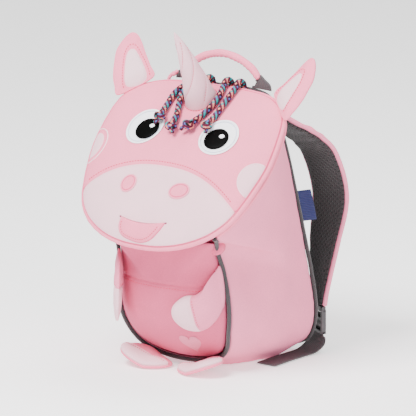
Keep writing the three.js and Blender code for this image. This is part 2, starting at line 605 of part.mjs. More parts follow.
// The ears: padded leaves that stand in the bound edge on both corners of the head.
function addEars() {
  // Outline rows: across as a share of EAR_HALF (outward), up as a share of EAR_LONG.
  const EAR = [
    [0.86, 0], [0.8, 0.19], [0.68, 0.37], [0.38, 0.6], [0, 0.83], [-0.5, 0.96], [-0.9, 1], [-1.1, 0.93],
    [-1.14, 0.78], [-1.06, 0.5], [-1.0, 0.25], [-0.92, 0], [0, -0.03],
  ];
  const INNER = [[-0.62, 0.03], [0.33, 0.04], [0.1, 0.36], [-0.3, 0.62], [-0.6, 0.68], [-0.76, 0.55]];
  for (const [side, s] of sides) {
    const [outerFoot, innerFoot] = [[0.948, 0.188], [0.66, 0.03]].map(([u, v]) =>
      onPlane(s * u * FACE_HALF, v * FACE_LENGTH, crownBend(v * FACE_LENGTH)));
    const across = outerFoot.clone().sub(innerFoot).normalize();
    const up = vec(s * 0.681, 0.334, 0.651);
    up.addScaledVector(across, -up.dot(across)).normalize();
    const front = vec().crossVectors(across, up).multiplyScalar(s).normalize();
    const foot = outerFoot.add(innerFoot).multiplyScalar(0.5).addScaledVector(up, 2 * BINDING + 2 * GAP + 1.5);
    const place = (a, b, lift) =>
      foot.clone().addScaledVector(across, a).addScaledVector(up, b).addScaledVector(front, lift);
    const pad = (sign) => (a, b, out) =>
      place(a, b, sign * (0.9 + (EAR_THICK / 2 - 0.9) * (1 - out ** 3)) + 3 * (b / EAR_LONG) ** 2);
    const outline = (rows, count) =>
      spline(rows.map(([a, b]) => vec(a * EAR_HALF, b * EAR_LONG, 0)), true).getPoints(count).slice(0, count);
    const middle = vec(-0.2 * EAR_HALF, 0.42 * EAR_LONG, 0);
    add(`ear_${side}`, disc(outline(EAR, 24), middle, pad(1), pad(-1), 3), 'pink_cloth');
    const lift = (extra) => (a, b) =>
      place(a, b, EAR_THICK / 2 + GAP + extra + 3 * (b / EAR_LONG) ** 2);
    const patch = outline(INNER, 18);
    add(`ear_inner_${side}`, disc(patch, vec(-0.2 * EAR_HALF, 0.3 * EAR_LONG, 0), lift(PATCH), lift(0), 2),
      'pale_cloth');
  }
}

// The hair: four braided cords that come over the bound edge beside the horn and end
// in knots on the forehead. Each route is a list of u and v laid by hand over the
// face, and its last row is the middle of the knot.
const HAIR_OVER_EDGE = [[-7, -11.6], [-8.4, -8.4], [-6.6, -3.8], [-2.5, -1.7]]; // v and height
const HAIR_ROUTES = {
  hair_cord_1: [[-20.2, 4], [-25.2, 11], [-27.6, 20], [-27, 33], [-24.8, 48]],
  hair_cord_2: [[-13, 3.5], [-17.8, 10], [-20.4, 18], [-17, 29], [-12, 42], [-8.6, 56.5]],
  hair_cord_3: [[12.4, 4], [14.8, 11], [16.4, 20], [15, 31], [11.4, 42], [7.4, 53]],
  hair_cord_4: [[24.4, 4], [25.6, 16], [25.6, 28], [25, 39], [24.6, 50.5]],
};
const HAIR_START = { hair_cord_1: -16.8, hair_cord_2: -9, hair_cord_3: 10.5, hair_cord_4: 23 };

function hairRoute(name) {
  const rows = HAIR_ROUTES[name];
  const over = HAIR_OVER_EDGE.map(([v, height]) => onPlane(HAIR_START[name], v, height));
  const lay = rows.map(([u, v], k) =>
    onFace(u, v, k < rows.length - 1 ? HAIR + 2 * GAP : KNOT + GAP + PATCH + 0.4));
  return spline([...over, ...lay]);
}

function addHair() {
  for (const name of Object.keys(HAIR_ROUTES)) {
    const route = hairRoute(name);
    const stop = 1 - (KNOT + GAP) / route.getLength();
    const cord = spline(Array.from({ length: 19 }, (_, k) => route.getPointAt((k / 18) * stop)));
    add(name, tube(cord, HAIR, 14, 8), 'hair_cord');
    const knot = new THREE.SphereGeometry(KNOT, 8, 6);
    knot.scale(0.94, 0.94, 1);
    knot.applyQuaternion(new THREE.Quaternion().setFromUnitVectors(vec(0, 0, 1), route.getTangentAt(1)));
    const end = route.getPoint(1);
    knot.translate(end.x, end.y, end.z);
    add(name.replace('cord', 'knot'), knot, 'hair_cord');
  }
}

// The carry handle: a stuffed grip whose ends are held by grey webbing in the top seam.
function addHandle() {
  const seamZ = BAG_HEIGHT + PIPING + GAP;
  const y = backY(BAG_HEIGHT);
  const rise = [[-1, 0.42], [-0.8, 0.68], [-0.45, 0.9], [0, 1], [0.45, 0.9], [0.8, 0.68], [1, 0.42]];
  const arch = spline(rise.map(([x, z]) => vec(x * GRIP_HALF, y, seamZ + z * GRIP_RISE - GRIP)));
  add('handle_grip', tube(arch, GRIP, 14, 8), 'pink_cloth');
  for (const [side, s] of sides) {
    const grip = arch.getPoint(s > 0 ? 1 : 0);
    const away = arch.getTangent(s > 0 ? 1 : 0).multiplyScalar(s);
    const foot = vec(s * (GRIP_HALF + 3.5), y, seamZ - 0.8);
    const path = spline([foot, foot.clone().add(vec(0, 0, 2.6)), grip.clone().addScaledVector(away, 2.6),
      grip.clone().addScaledVector(away, GAP)]);
    const half = (t) => WEBBING / 2 - (WEBBING / 2 - GRIP) * smooth(t * 1.1);
    const across = (t) => vec(1, 0, -0.14 * s * (1 - t));
    add(`handle_webbing_${side}`, band(path, across, half, -WEBBING_THICK / 2, WEBBING_THICK / 2, 5),
      'grey_webbing');
  }
}

// The shoulder straps: spacer mesh toward the wearer and cloth outside, arching from
// the top of the back panel to a ladder-lock, then webbing under the side of the bag.
// Rows: x as a share of BACK_HALF, distance from the back panel as a share of
// STRAP_REACH, z as a share of BAG_HEIGHT, half width as a share of STRAP_HALF.
const STRAP = [
  [0.31, 0.135, 0.945, 1], [0.36, 0.185, 0.915, 1], [0.47, 0.45, 0.865, 1], [0.65, 0.81, 0.792, 1], [0.76, 0.98, 0.712, 1],
  [0.83, 1, 0.559, 1], [0.87, 0.66, 0.403, 0.97], [0.89, 0.4, 0.26, 0.84], [0.9, 0.27, 0.172, 0.7],
];

function addStraps() {
  const twist = THREE.MathUtils.degToRad(LOCK_TURN);
  for (const [side, s] of sides) {
    const middle = spline(STRAP.map(([x, y, z]) =>
      vec(s * x * BACK_HALF, backY(z * BAG_HEIGHT) + y * STRAP_REACH, z * BAG_HEIGHT)));
    const widths = spline(STRAP.map((row) => vec(row[3] * STRAP_HALF, 0, 0)));
    const half = (t) => widths.getPoint(t).x;
    const turned = (angle) => vec(Math.cos(angle), -s * Math.sin(angle), 0);
    const across = (t) => turned(twist * smooth((t - 0.55) / 0.45));
    add(`strap_mesh_${side}`, band(middle, across, half, 0, STRAP_PAD, 12, 3), 'spacer_mesh');
    const cover = band(middle, across, (t) => half(t) + 1, -GAP - STRAP_COVER, -GAP, 12, 3);
    add(`strap_cover_${side}`, cover, 'pink_cloth');

    // The ladder-lock at the strap's lower end, turned like the strap.
    const end = middle.getPoint(1);
    const lockTop = end.z - GAP - 2;
    const lock = new THREE.BoxGeometry(WEBBING + 3, LOCK_THICK, LOCK_TALL);
    lock.rotateZ(-s * twist);
    lock.translate(end.x, end.y - 1, lockTop - LOCK_TALL / 2);
    add(`ladder_lock_${side}`, lock, 'grey_plastic');

    const low = lockTop - LOCK_TALL - GAP - 0.3;
    const floor = WEBBING_THICK / 2 + GAP;
    const route = [[0, -1, low], [-0.2, -1.6, 0.76 * low], [-1, -6, 0.4 * low], [-3, -16, floor + 0.8],
      [-5.2, -30, floor], [-6.6, -46, floor], [-7.6, -72, floor]];
    const path = spline(route.map(([x, y, z]) => vec(end.x + s * x, end.y + y, z)));
    const lie = (t) => turned(twist * (1 - smooth(t / 0.4)));
    add(`strap_webbing_${side}`, band(path, lie, () => WEBBING / 2, -WEBBING_THICK / 2, WEBBING_THICK / 2, 12),
      'grey_webbing');
  }
}

// The arms and hands. The right arm lies on the belly, the left one hangs down beside
// it. Rows: a share of ARM_WIDE across and a share of ARM_LONG along.
function addArms() {
  // Right arm over the belly, rows of x and z as shares of BELLY_HALF and BELLY_TOP.
  const RIGHT = [
    [0.85, 0.8], [0.77, 0.66], [0.62, 0.585], [0.42, 0.565], [0.26, 0.49], [0.25, 0.4], [0.4, 0.335],
    [0.62, 0.325], [0.8, 0.4], [0.9, 0.53], [0.9, 0.68],
  ];
  const arm = spline(RIGHT.map(([x, z]) => vec(x * BELLY_HALF, z * BELLY_TOP, 0)), true);
  const outline = arm.getPoints(26).slice(0, 26);
  const middle = vec(0.62 * BELLY_HALF, 0.49 * BELLY_TOP, 0);
  const reach = reachOf(arm, middle);
  const under = GAP + 0.9;
  const thick = (x, z) => {
    const [dx, dz] = [x - middle.x, z - middle.y];
    const share = Math.min(1, Math.hypot(dx, dz) / reach(Math.atan2(dz, dx)));
    return 1.6 + (ARM_THICK - 1.6) * (1 - share ** 3) ** 0.8;
  };
  const handSeam = (z) => BELLY_HALF * (0.56 + 0.3 * (0.57 - z / BELLY_TOP));
  const front = (x, z) => onBelly(x, z, under + thick(x, z));
  const rear = (x, z) => onBelly(x, z, under);
  const hand = vec(0.42 * BELLY_HALF, 0.45 * BELLY_TOP, 0);
  const upper = vec(0.8 * BELLY_HALF, 0.53 * BELLY_TOP, 0);
  const seam = GAP / 2;
  const wrist = (offset) => (p) => vec(handSeam(p.y) + offset, p.y, 0);
  add('hand_right', disc(cut(outline, (p) => handSeam(p.y) - p.x, wrist(-seam), 4), hand, front, rear, 3),
    'pale_cloth');
  add('arm_right', disc(cut(outline, (p) => p.x - handSeam(p.y), wrist(seam), 4), upper, front, rear, 3),
    'pink_cloth');

  // Left arm, flat in a plane that turns forward from the left piping.
  const LEFT = [
    [0, 0.04], [0.4, 0.05], [0.78, 0.2], [0.98, 0.5], [0.95, 0.82], [0.68, 1], [0.3, 0.97], [0.06, 0.78],
    [0, 0.42],
  ];
  const root = vec(-0.89 * BELLY_HALF, -1.165 * BELLY_FRONT, 0.81 * BELLY_TOP);
  const wide = vec(0.56, -0.83, 0).normalize();
  const down = vec(0, -0.05, -1).normalize();
  const out = vec().crossVectors(wide, down).normalize();
  const left = spline(LEFT.map(([a, b]) => vec(a * ARM_WIDE, b * ARM_LONG, 0)), true);
  const leftOutline = left.getPoints(24).slice(0, 24);
  const leftMiddle = vec(0.5 * ARM_WIDE, 0.52 * ARM_LONG, 0);
  const leftReach = reachOf(left, leftMiddle);
  const pad = (sign) => (a, b) => {
    const [da, db] = [a - leftMiddle.x, b - leftMiddle.y];
    const share = Math.min(1, Math.hypot(da, db) / leftReach(Math.atan2(db, da)));
    const lift = sign * (0.8 + (ARM_THICK / 2 - 0.8) * (1 - share ** 3) ** 0.8);
    return root.clone().addScaledVector(wide, a).addScaledVector(down, b).addScaledVector(out, lift);
  };
  const leftWrist = 0.5 * ARM_LONG;
  const across = (offset) => (p) => vec(p.x, leftWrist + offset, 0);
  const upperMiddle = vec(0.45 * ARM_WIDE, 0.3 * ARM_LONG, 0);
  const handMiddle = vec(0.52 * ARM_WIDE, 0.72 * ARM_LONG, 0);
  add('arm_left', disc(cut(leftOutline, (p) => leftWrist - p.y, across(-seam), 4), upperMiddle,
    pad(1), pad(-1), 3), 'pink_cloth');
  add('hand_left', disc(cut(leftOutline, (p) => p.y - leftWrist, across(seam), 4), handMiddle,
    pad(1), pad(-1), 3), 'pale_cloth');
}

// The feet: flat padded tongues sewn under the belly's piping, with a pale cloth on
// top. They rest on their front edge and rise outward and back to the piping.
function addFeet() {
  for (const [side, s] of sides) {
    const turn = -0.2 * s;
    const centre = vec(s * FOOT_X, -FOOT_Y, 0);
    const outline = ellipse(centre.x, centre.y, FOOT_HALF, FOOT_DEEP, 24, turn);
    const low = (x, y) =>
      0.4 * Math.max(0, s * x - 0.8 * FOOT_X) + 0.35 * Math.max(0, y - centre.y) * smooth((s * x) / FOOT_X - 0.3);
    const dome = (x, y) => {
      const [dx, dy] = [x - centre.x, y - centre.y];
      const [a, b] = [dx * Math.cos(turn) + dy * Math.sin(turn), dy * Math.cos(turn) - dx * Math.sin(turn)];
      return Math.sqrt(Math.max(0, 1 - Math.hypot(a / FOOT_HALF, b / FOOT_DEEP) ** 2.6));
    };
    const sole = (x, y) => vec(x, y, low(x, y) + 2.4 + (0.55 * FOOT_TALL - 2.4) * dome(x, y));
    add(`foot_${side}`, disc(outline, centre, sole, (x, y) => vec(x, y, low(x, y)), 3), 'pink_cloth');
    const toe = vec(centre.x, centre.y - 0.25 * FOOT_DEEP, 0);
    const capBack = centre.y + 0.35 * FOOT_DEEP;
    const cap = cut(ellipse(centre.x, centre.y, FOOT_HALF - 1, FOOT_DEEP - 1, 22, turn), (p) => capBack - p.y,
      (p) => vec(p.x, capBack, 0), 5);
    const top = (x, y) => vec(x, y, low(x, y) + 2.4 + GAP + 1.2 + (FOOT_TALL - 3.9) * dome(x, y) ** 0.8);
    const rest = (x, y) => sole(x, y).add(vec(0, 0, GAP + 0.3));
    add(`toe_cap_${side}`, disc(cap, toe, top, rest, 2), 'pale_cloth');
  }
}

// Small trim: the tape label in the back seam, and the zip's slider with its cord pull.
function addTrim() {
  const seam = backSeam.getPoints(400).filter((p) => p.x > 0);
  const at = (z) => seam.reduce((best, p) => (Math.abs(p.z - z) < Math.abs(best.z - z) ? p : best));
  const outward = vec(0.45, 0.89, 0).normalize();
  const label = (lift) => (i, j) => at(LABEL_Z + (j - 0.5) * LABEL_TALL).clone()
    .addScaledVector(outward, PIPING + GAP + 0.3 + (i / 2) * LABEL_DEEP).add(vec(0.89 * lift, -0.45 * lift, 0));
  add('side_label', sheet(label(0.5), label(-0.5), 2, 1), 'navy_tape');

  const stop = frontSeam.getPoint(1 - 1.75 / stationCount);
  const slider = new THREE.BoxGeometry(6, 3.4, 3.6);
  slider.translate(stop.x, stop.y + 2.6, stop.z + RIM + GAP + 1.9);
  add('zip_slider', slider, 'grey_plastic');
  const pull = spline([[0, 0, 0], [1.6, 1, 2.6], [4.4, 1.6, 4.2], [6.6, 1.4, 6.4]].map(([x, y, z]) =>
    vec(stop.x + x, stop.y + 2.6 + y, stop.z + RIM + 2 * GAP + 5.6 + z)));
  add('zip_pull', tube(pull, 1.9, 6, 8), 'tongue_cloth');
}

addBody();
addPiping();
addFace();
addFeatures();
addHorn();
addEars();
addHair();
addHandle();
addStraps();
addArms();
addFeet();
addTrim();

export default meshes;
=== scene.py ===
# A small child's backpack with a unicorn's face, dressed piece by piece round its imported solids.
# Sizes are in millimetres and turn into metres where each mesh is made.
import math

import bpy
import numpy as np
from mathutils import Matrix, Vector


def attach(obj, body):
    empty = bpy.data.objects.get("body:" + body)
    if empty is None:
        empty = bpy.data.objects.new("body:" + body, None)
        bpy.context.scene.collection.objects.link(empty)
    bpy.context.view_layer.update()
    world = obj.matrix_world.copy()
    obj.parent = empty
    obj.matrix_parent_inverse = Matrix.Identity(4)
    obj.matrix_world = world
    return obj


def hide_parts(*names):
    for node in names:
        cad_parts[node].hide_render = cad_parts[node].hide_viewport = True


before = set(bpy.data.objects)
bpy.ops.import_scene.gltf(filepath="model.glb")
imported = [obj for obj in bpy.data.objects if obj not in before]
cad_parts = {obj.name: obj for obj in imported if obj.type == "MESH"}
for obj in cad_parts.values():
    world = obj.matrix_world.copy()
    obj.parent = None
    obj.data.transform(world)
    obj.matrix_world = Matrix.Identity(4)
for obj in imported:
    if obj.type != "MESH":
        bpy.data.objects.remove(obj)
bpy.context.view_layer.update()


# The camera. It stands in front of the bag and to its right, a little above its middle,
# far off with a long lens, as for a shop's picture.
CAMERA_TURN, CAMERA_RISE = math.radians(34), math.radians(13.5)
CAMERA_AIM = Vector((0, -0.0062, 0.132))
CAMERA_AWAY, CAMERA_LENS = 7.0, 703
camera = bpy.data.objects.new("camera", bpy.data.cameras.new("camera"))
bpy.context.scene.collection.objects.link(camera)
bpy.context.scene.camera = camera
toward = Vector((math.sin(CAMERA_TURN) * math.cos(CAMERA_RISE),
                 -math.cos(CAMERA_TURN) * math.cos(CAMERA_RISE), math.sin(CAMERA_RISE)))
camera.location = CAMERA_AIM + CAMERA_AWAY * toward
camera.rotation_euler = (-toward).to_track_quat("-Z", "Y").to_euler()
camera.data.lens = CAMERA_LENS
camera.data.clip_end = 40


# The face: a pink cloth over foam above and a pale one over the muzzle, sewn together in one
# curved seam that is pressed down between them and topstitched above it. Its plane leans back
# from the chin: u runs to the viewer's right, v down from the top edge, and h stands out.
FACE_TILT = math.radians(42.8)
FACE_TOP = np.array([0, 1.25, 242.1])
FACE_DOWN = np.array([0, -math.sin(FACE_TILT), -math.cos(FACE_TILT)])
FACE_OUT = np.array([0, -math.cos(FACE_TILT), math.sin(FACE_TILT)])
FACE_LENGTH, FACE_HALF, FACE_PAD = 170.5, 88, 5
FOREHEAD_RISE, MUZZLE_RISE, CROWN_DROP = 6, 17, 6.2
MUZZLE_SEAM_V, MUZZLE_SEAM_FALL, SEAM_DEPTH, SEAM_SLANT = 94.5, 27, 1.5, 0.86
STITCH_ROW = 3.2  # from a seam to the row of stitches beside it
HORN_U, HORN_V, HORN_HEM = -3, 19, 14.6
PINK, PALE, THREAD = "#f07d9b", "#e7b9c4", "#cf1c52"
# The right half of the outline, as shares of the face's half width and of its length.
FACE_OUTLINE = np.array([
    [0, 0], [0.4, 0.005], [0.66, 0.03], [0.85, 0.094], [0.955, 0.182], [1, 0.353], [0.989, 0.5],
    [0.88, 0.723], [0.732, 0.84], [0.511, 0.917], [0.261, 0.958], [0, 0.969]])
FACE_CENTRE = np.array([0, 0.47 * FACE_LENGTH])


def smooth(x):
    x = np.clip(x, 0, 1)
    return x * x * (3 - 2 * x)


def spline(points, closed=False):
    """A smooth curve through the points; it takes shares of the way, 0 to 1."""
    marks = np.asarray(points, float)
    count = len(marks)
    spans = count if closed else count - 1

    def at(t):
        t = np.atleast_1d(np.asarray(t, float))
        place = (t % 1.0 if closed else np.clip(t, 0, 1)) * spans
        k = np.minimum(place.astype(int), spans - 1)
        f = (place - k)[:, None]
        if closed:
            a, b, c, d = (marks[(k + step) % count] for step in (-1, 0, 1, 2))
        else:
            wide = np.vstack([2 * marks[0] - marks[1], marks, 2 * marks[-1] - marks[-2]])
            a, b, c, d = (wide[k + step] for step in range(4))
        return ((2 * f ** 3 - 3 * f ** 2 + 1) * b + (f ** 3 - 2 * f ** 2 + f) * 0.5 * (c - a)
                + (3 * f ** 2 - 2 * f ** 3) * c + (f ** 3 - f ** 2) * 0.5 * (d - b))
    return at


def unit(vectors):
    return vectors / np.maximum(np.linalg.norm(vectors, axis=-1, keepdims=True), 1e-9)


def both_halves(rows):
    rows = np.asarray(rows, float)
    left = rows[1:-1][::-1] * np.array([-1] + [1] * (rows.shape[1] - 1))
    return np.vstack([rows, left])


def reach_of(outline, centre):
    """How far an outline lies from a centre, by direction."""
    away = outline[:, :2] - centre
    angle, far = np.arctan2(away[:, 1], away[:, 0]), np.linalg.norm(away, axis=1)
    order = np.argsort(angle)
    angle, far = angle[order], far[order]
    angle = np.concatenate([[angle[-1] - 2 * np.pi], angle, [angle[0] + 2 * np.pi]])
    far = np.concatenate([[far[-1]], far, [far[0]]])
    return lambda turn: np.interp(turn, angle, far)


face_edge = spline(both_halves(FACE_OUTLINE * [FACE_HALF, FACE_LENGTH]), closed=True)
face_reach = reach_of(face_edge(np.linspace(0, 1, 1440, endpoint=False)), FACE_CENTRE)


def face_share(u, v):
    du, dv = u - FACE_CENTRE[0], v - FACE_CENTRE[1]
    return np.hypot(du, dv) / face_reach(np.arctan2(dv, du))


def crown_bend(v):
    return -CROWN_DROP * np.maximum(0, 1 - v / (0.235 * FACE_LENGTH)) ** 2


def face_height(u, v):
    share = np.minimum(face_share(u, v), 1)
    rise = FOREHEAD_RISE + (MUZZLE_RISE - FOREHEAD_RISE) * smooth(v / (0.676 * FACE_LENGTH))
    return rise * (1 - share ** 2.4) ** 0.62 + crown_bend(v)


def on_plane(u, v, h):
    u, v, h = np.broadcast_arrays(np.asarray(u, float), v, h)
    return (FACE_TOP + v[..., None] * FACE_DOWN + h[..., None] * FACE_OUT
            + u[..., None] * np.array([1.0, 0, 0]))


def seam_v(u):
    return MUZZLE_SEAM_V + MUZZLE_SEAM_FALL * (np.abs(u) / (0.89 * FACE_HALF)) ** 2.3


def ripples(points, size, seed, count=7):
    """Soft unevenness of stuffed cloth, -1..1, with a typical size in millimetres."""
    dice = np.random.default_rng(seed)
    ways = unit(dice.normal(size=(count, 3))) * 2 * np.pi / (size * dice.uniform(0.7, 1.5, (count, 1)))
    waves = np.sin(points @ ways.T + dice.uniform(0, 2 * np.pi, count))
    return waves.mean(axis=-1) * 1.8


def near(distance, width):
    return np.exp(-(distance / width) ** 2)


def padded_face(u, v, lift):
    """The padded cloth, pressed down along the seam, its stitches and the horn's hem."""
    below = v - seam_v(u)
    h = face_height(u, v) + lift - SEAM_DEPTH * near(below * SEAM_SLANT, 1.7)
    h = h - 0.35 * near((below + STITCH_ROW) * SEAM_SLANT, 0.9)
    h = h - 1.3 * near(np.hypot(u - HORN_U, v - HORN_V) - HORN_HEM, 3.0)
    points = on_plane(u, v, h)
    return points + 0.35 * ripples(points, 46, 3)[..., None] * FACE_OUT


def make_piece(name, points, faces, material, lay=None, colours=None):
    """A smooth mesh from points in millimetres. lay holds each point's place on the flat
    cloth, in millimetres, for patterns that follow the weave."""
    mesh = bpy.data.meshes.new(name)
    mesh.from_pydata((np.asarray(points) * 0.001).tolist(), [], [list(map(int, f)) for f in faces])
    mesh.polygons.foreach_set("use_smooth", [True] * len(mesh.polygons))
    if lay is not None:
        flat = mesh.attributes.new("lay", "FLOAT_VECTOR", "POINT")
        flat.data.foreach_set("vector", np.asarray(lay, np.float32).ravel())
    if colours is not None:
        dye_and_groove_shade = mesh.attributes.new("dye_and_groove_shade", "FLOAT_COLOR", "POINT")
        dye_and_groove_shade.data.foreach_set("color", np.asarray(colours, np.float32).ravel())
    mesh.materials.append(material)
    piece = bpy.data.objects.new(name, mesh)
    bpy.context.scene.collection.objects.link(piece)
    return piece


def fit(piece, slot, *nodes, fill=None):
    """The piece stays with the bag and stands for nodes, which it hides; slot is not used."""
    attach(piece, "root")
    if nodes:
        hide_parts(*nodes)
    return piece


def pad_disc(name, outline, centre, outer, inner, rings, material):
    """A padded disc inside an outline: outer and inner take x, y and the share outward."""
    share = np.sin(np.arange(rings + 1) / rings * np.pi / 2)
    flat = centre + share[1:, None, None] * (outline[None] - centre)
    x = np.concatenate([[centre[0]], flat[..., 0].ravel()])
    y = np.concatenate([[centre[1]], flat[..., 1].ravel()])
    out = np.concatenate([[0], np.repeat(share[1:], len(outline))])
    spokes, half = len(outline), len(x)
    points = np.vstack([outer(x, y, out), inner(x, y, out)])
    faces = []
    for side in (0, half):
        ring = np.arange(spokes)
        ahead = (ring + 1) % spokes
        fan = np.stack([np.full(spokes, side), side + 1 + ring, side + 1 + ahead], 1)
        faces += (fan[:, ::-1] if side else fan).tolist()
        for r in range(rings - 1):
            a, b = side + 1 + r * spokes, side + 1 + (r + 1) * spokes
            quad = np.stack([a + ring, b + ring, b + ahead, a + ahead], 1)
            faces += (quad[:, ::-1] if side else quad).tolist()
    last = 1 + (rings - 1) * spokes
    wall = np.stack([last + ring, half + last + ring, half + last + ahead, last + ahead], 1)
    faces += wall.tolist()
    piece = make_piece(name, points, faces, material, lay=np.tile(np.stack([x, y, out], 1), (2, 1)))
    face_outward(piece)
    return piece


def face_outward(piece):
    """Turns a closed mesh's faces outward, by the sign of its volume."""
    mesh = piece.data
    mesh.calc_loop_triangles()
    points = np.empty(len(mesh.vertices) * 3)
    mesh.vertices.foreach_get("co", points)
    corners = np.empty(len(mesh.loop_triangles) * 3, int)
    mesh.loop_triangles.foreach_get("vertices", corners)
    a, b, c = points.reshape(-1, 3)[corners.reshape(-1, 3)].transpose(1, 0, 2)
    if np.einsum("ij,ij->", a, np.cross(b, c)) < 0:
        mesh.flip_normals()


def linear(code):
    """Linear RGBA of an sRGB hex colour."""
    parts = [int(code[k:k + 2], 16) / 255 for k in (1, 3, 5)]
    return [c / 12.92 if c <= 0.04045 else ((c + 0.055) / 1.055) ** 2.4 for c in parts] + [1.0]


def add(tree, kind, inputs=None, **settings):
    """One shader node, with its settings, and its inputs as values or as links."""
    made = tree.nodes.new("ShaderNode" + kind)
    for key, value in settings.items():
        setattr(made, key, value)
    for key, value in (inputs or {}).items():
        if isinstance(value, bpy.types.NodeSocket):
            tree.links.new(value, made.inputs[key])
        else:
            made.inputs[key].default_value = value
    return made


def new_material(name):
    material = bpy.data.materials.new(name)
    material.use_nodes = True
    shader = material.node_tree.nodes["Principled BSDF"]
    return material, material.node_tree, shader


def finish(tree, shader, colour, level, rough, height=None, strength=0.0, depth=0.0):
    """Ends a material: its colour shaded by a level, its roughness, and any relief in metres."""
    shaded = add(tree, "MixRGB", {"Fac": 1.0, "Color1": colour, "Color2": level}, blend_type="MULTIPLY")
    tree.links.new(shaded.outputs["Color"], shader.inputs["Base Color"])
    shader.inputs["Roughness"].default_value = rough
    if height is not None:
        bump = add(tree, "Bump", {"Height": height, "Strength": strength, "Distance": depth})
        tree.links.new(bump.outputs["Normal"], shader.inputs["Normal"])


def cloth(name, code, grain=1.1, contrast=0.07, rough=0.88, sheen=0.1, depth=0.25, gloss=0.2):
    """A woven cloth with a napped face: the grain, in millimetres, is the nap's, as coarse as
    it needs to show in the picture, and a slow mottle lies under it as on any dyed lot."""
    material, tree, shader = new_material(name)
    place = add(tree, "TexCoord").outputs["Object"]
    nap = add(tree, "TexNoise", {"Vector": place, "Scale": 1000 / grain, "Detail": 4,
                                 "Roughness": 0.65}).outputs["Fac"]
    mottle = add(tree, "TexNoise", {"Vector": place, "Scale": 28, "Detail": 3}).outputs["Fac"]
    fine = add(tree, "MapRange", {"Value": nap, "From Min": 0.25, "From Max": 0.75, "To Min": 1 - contrast,
                                  "To Max": 1 + contrast}).outputs["Result"]
    slow = add(tree, "MapRange", {"Value": mottle, "From Min": 0.3, "From Max": 0.7, "To Min": 0.97,
                                  "To Max": 1.03}).outputs["Result"]
    both = add(tree, "Math", {0: fine, 1: slow}, operation="MULTIPLY").outputs[0]
    # Painted highlight: the colour is lightened by up to 7% where the mesh is pointed, on convex edges.
    edge = add(tree, "NewGeometry").outputs["Pointiness"]
    edge_highlight = add(tree, "MapRange", {"Value": edge, "From Min": 0.53, "From Max": 0.62, "To Min": 1.0,
                                    "To Max": 1.07}).outputs["Result"]
    level = add(tree, "Math", {0: both, 1: edge_highlight}, operation="MULTIPLY").outputs[0]
    thread = add(tree, "TexNoise", {"Vector": place, "Scale": 2200, "Detail": 2}).outputs["Fac"]
    relief = add(tree, "Math", {0: nap, 1: thread}, operation="ADD").outputs[0]
    finish(tree, shader, linear(code), level, rough, relief, depth, 0.0003)
    shader.inputs["Sheen Weight"].default_value = sheen
    shader.inputs["Sheen Roughness"].default_value = 0.45
    shader.inputs["Sheen Tint"].default_value = linear("#ffd0dc")
    shader.inputs["Specular IOR Level"].default_value = gloss
    return material


# Brushed polyester over foam: matt, with a short nap that glows softly at the edges, and a
# painted highlight that lightens its convex edges.
pink_polyester = cloth("brushed_polyester_pink", PINK)
pale_polyester = cloth("brushed_polyester_pale", PALE, contrast=0.05)

# Spun polyester thread, slightly glossier than the cloth that it holds; its twist repeats
# about every 0.3 mm.
pink_thread, tree, shader = new_material("polyester_thread_pink")
twist = add(tree, "TexNoise", {"Vector": add(tree, "TexCoord").outputs["Object"], "Scale": 3000})
strand = add(tree, "MapRange", {"Value": twist.outputs["Fac"], "To Min": 0.8, "To Max": 1.2})
finish(tree, shader, linear(THREAD), strand.outputs["Result"], 0.55)


def run_along(path):
    """How far each point of a path lies along it."""
    return np.concatenate([[0], np.cumsum(np.linalg.norm(np.diff(path, axis=0), axis=1))])


def stitches(name, path, normals, material, slot, long=2.1, every=3.1, thick=0.42):
    """A row of single stitches laid along a path, each half sunk in the cloth: long, every
    and thick are their length, their spacing and half their width in millimetres."""
    normals = np.broadcast_to(np.asarray(normals, float), path.shape)
    run = run_along(path)
    count = max(2, int(run[-1] / every))
    at = (np.arange(count) + 0.5) * run[-1] / count
    spot = np.stack([np.interp(at, run, path[:, k]) for k in range(3)], 1)
    ahead = np.stack([np.interp(at + 0.4, run, path[:, k]) for k in range(3)], 1)
    behind = np.stack([np.interp(at - 0.4, run, path[:, k]) for k in range(3)], 1)
    up = unit(np.stack([np.interp(at, run, normals[:, k]) for k in range(3)], 1))
    along = unit(ahead - behind)
    wide = unit(np.cross(along, up))
    rings, sides = [(-0.82, 0.62), (-0.4, 0.96), (0.4, 0.96), (0.82, 0.62)], 6
    points, faces = [], []
    for k in range(count):
        base = len(points)
        for s, r in rings:
            for c in range(sides):
                a = 2 * np.pi * c / sides
                points.append(spot[k] + along[k] * s * long / 2 + r * thick * (
                    wide[k] * math.cos(a) + up[k] * (math.sin(a) - 0.25 * s * s)))
        points += [spot[k] - along[k] * long / 2, spot[k] + along[k] * long / 2]
        for r in range(3):
            for c in range(sides):
                d = (c + 1) % sides
                faces.append([base + r * sides + x for x in (c, d, d + sides, c + sides)])
        tip = base + 4 * sides
        faces += [[tip, base + (c + 1) % sides, base + c] for c in range(sides)]
        faces += [[tip + 1, base + 3 * sides + c, base + 3 * sides + (c + 1) % sides] for c in range(sides)]
    piece = make_piece(name, points, faces, material)
    face_outward(piece)
    return fit(piece, slot)


def on_skin(u, v, lift=0.0):
    """Points and outward directions of the padded face along a path of u and v."""
    u, v = np.asarray(u, float), np.asarray(v, float)
    spot = padded_face(u, v, lift)
    side = padded_face(u + 0.5, v, lift) - padded_face(u - 0.5, v, lift)
    down = padded_face(u, v + 0.5, lift) - padded_face(u, v - 0.5, lift)
    return spot, unit(np.cross(down, side))


EDGE_STEPS = 2000
fine_edge = face_edge(np.linspace(0, 1, EDGE_STEPS, endpoint=False))
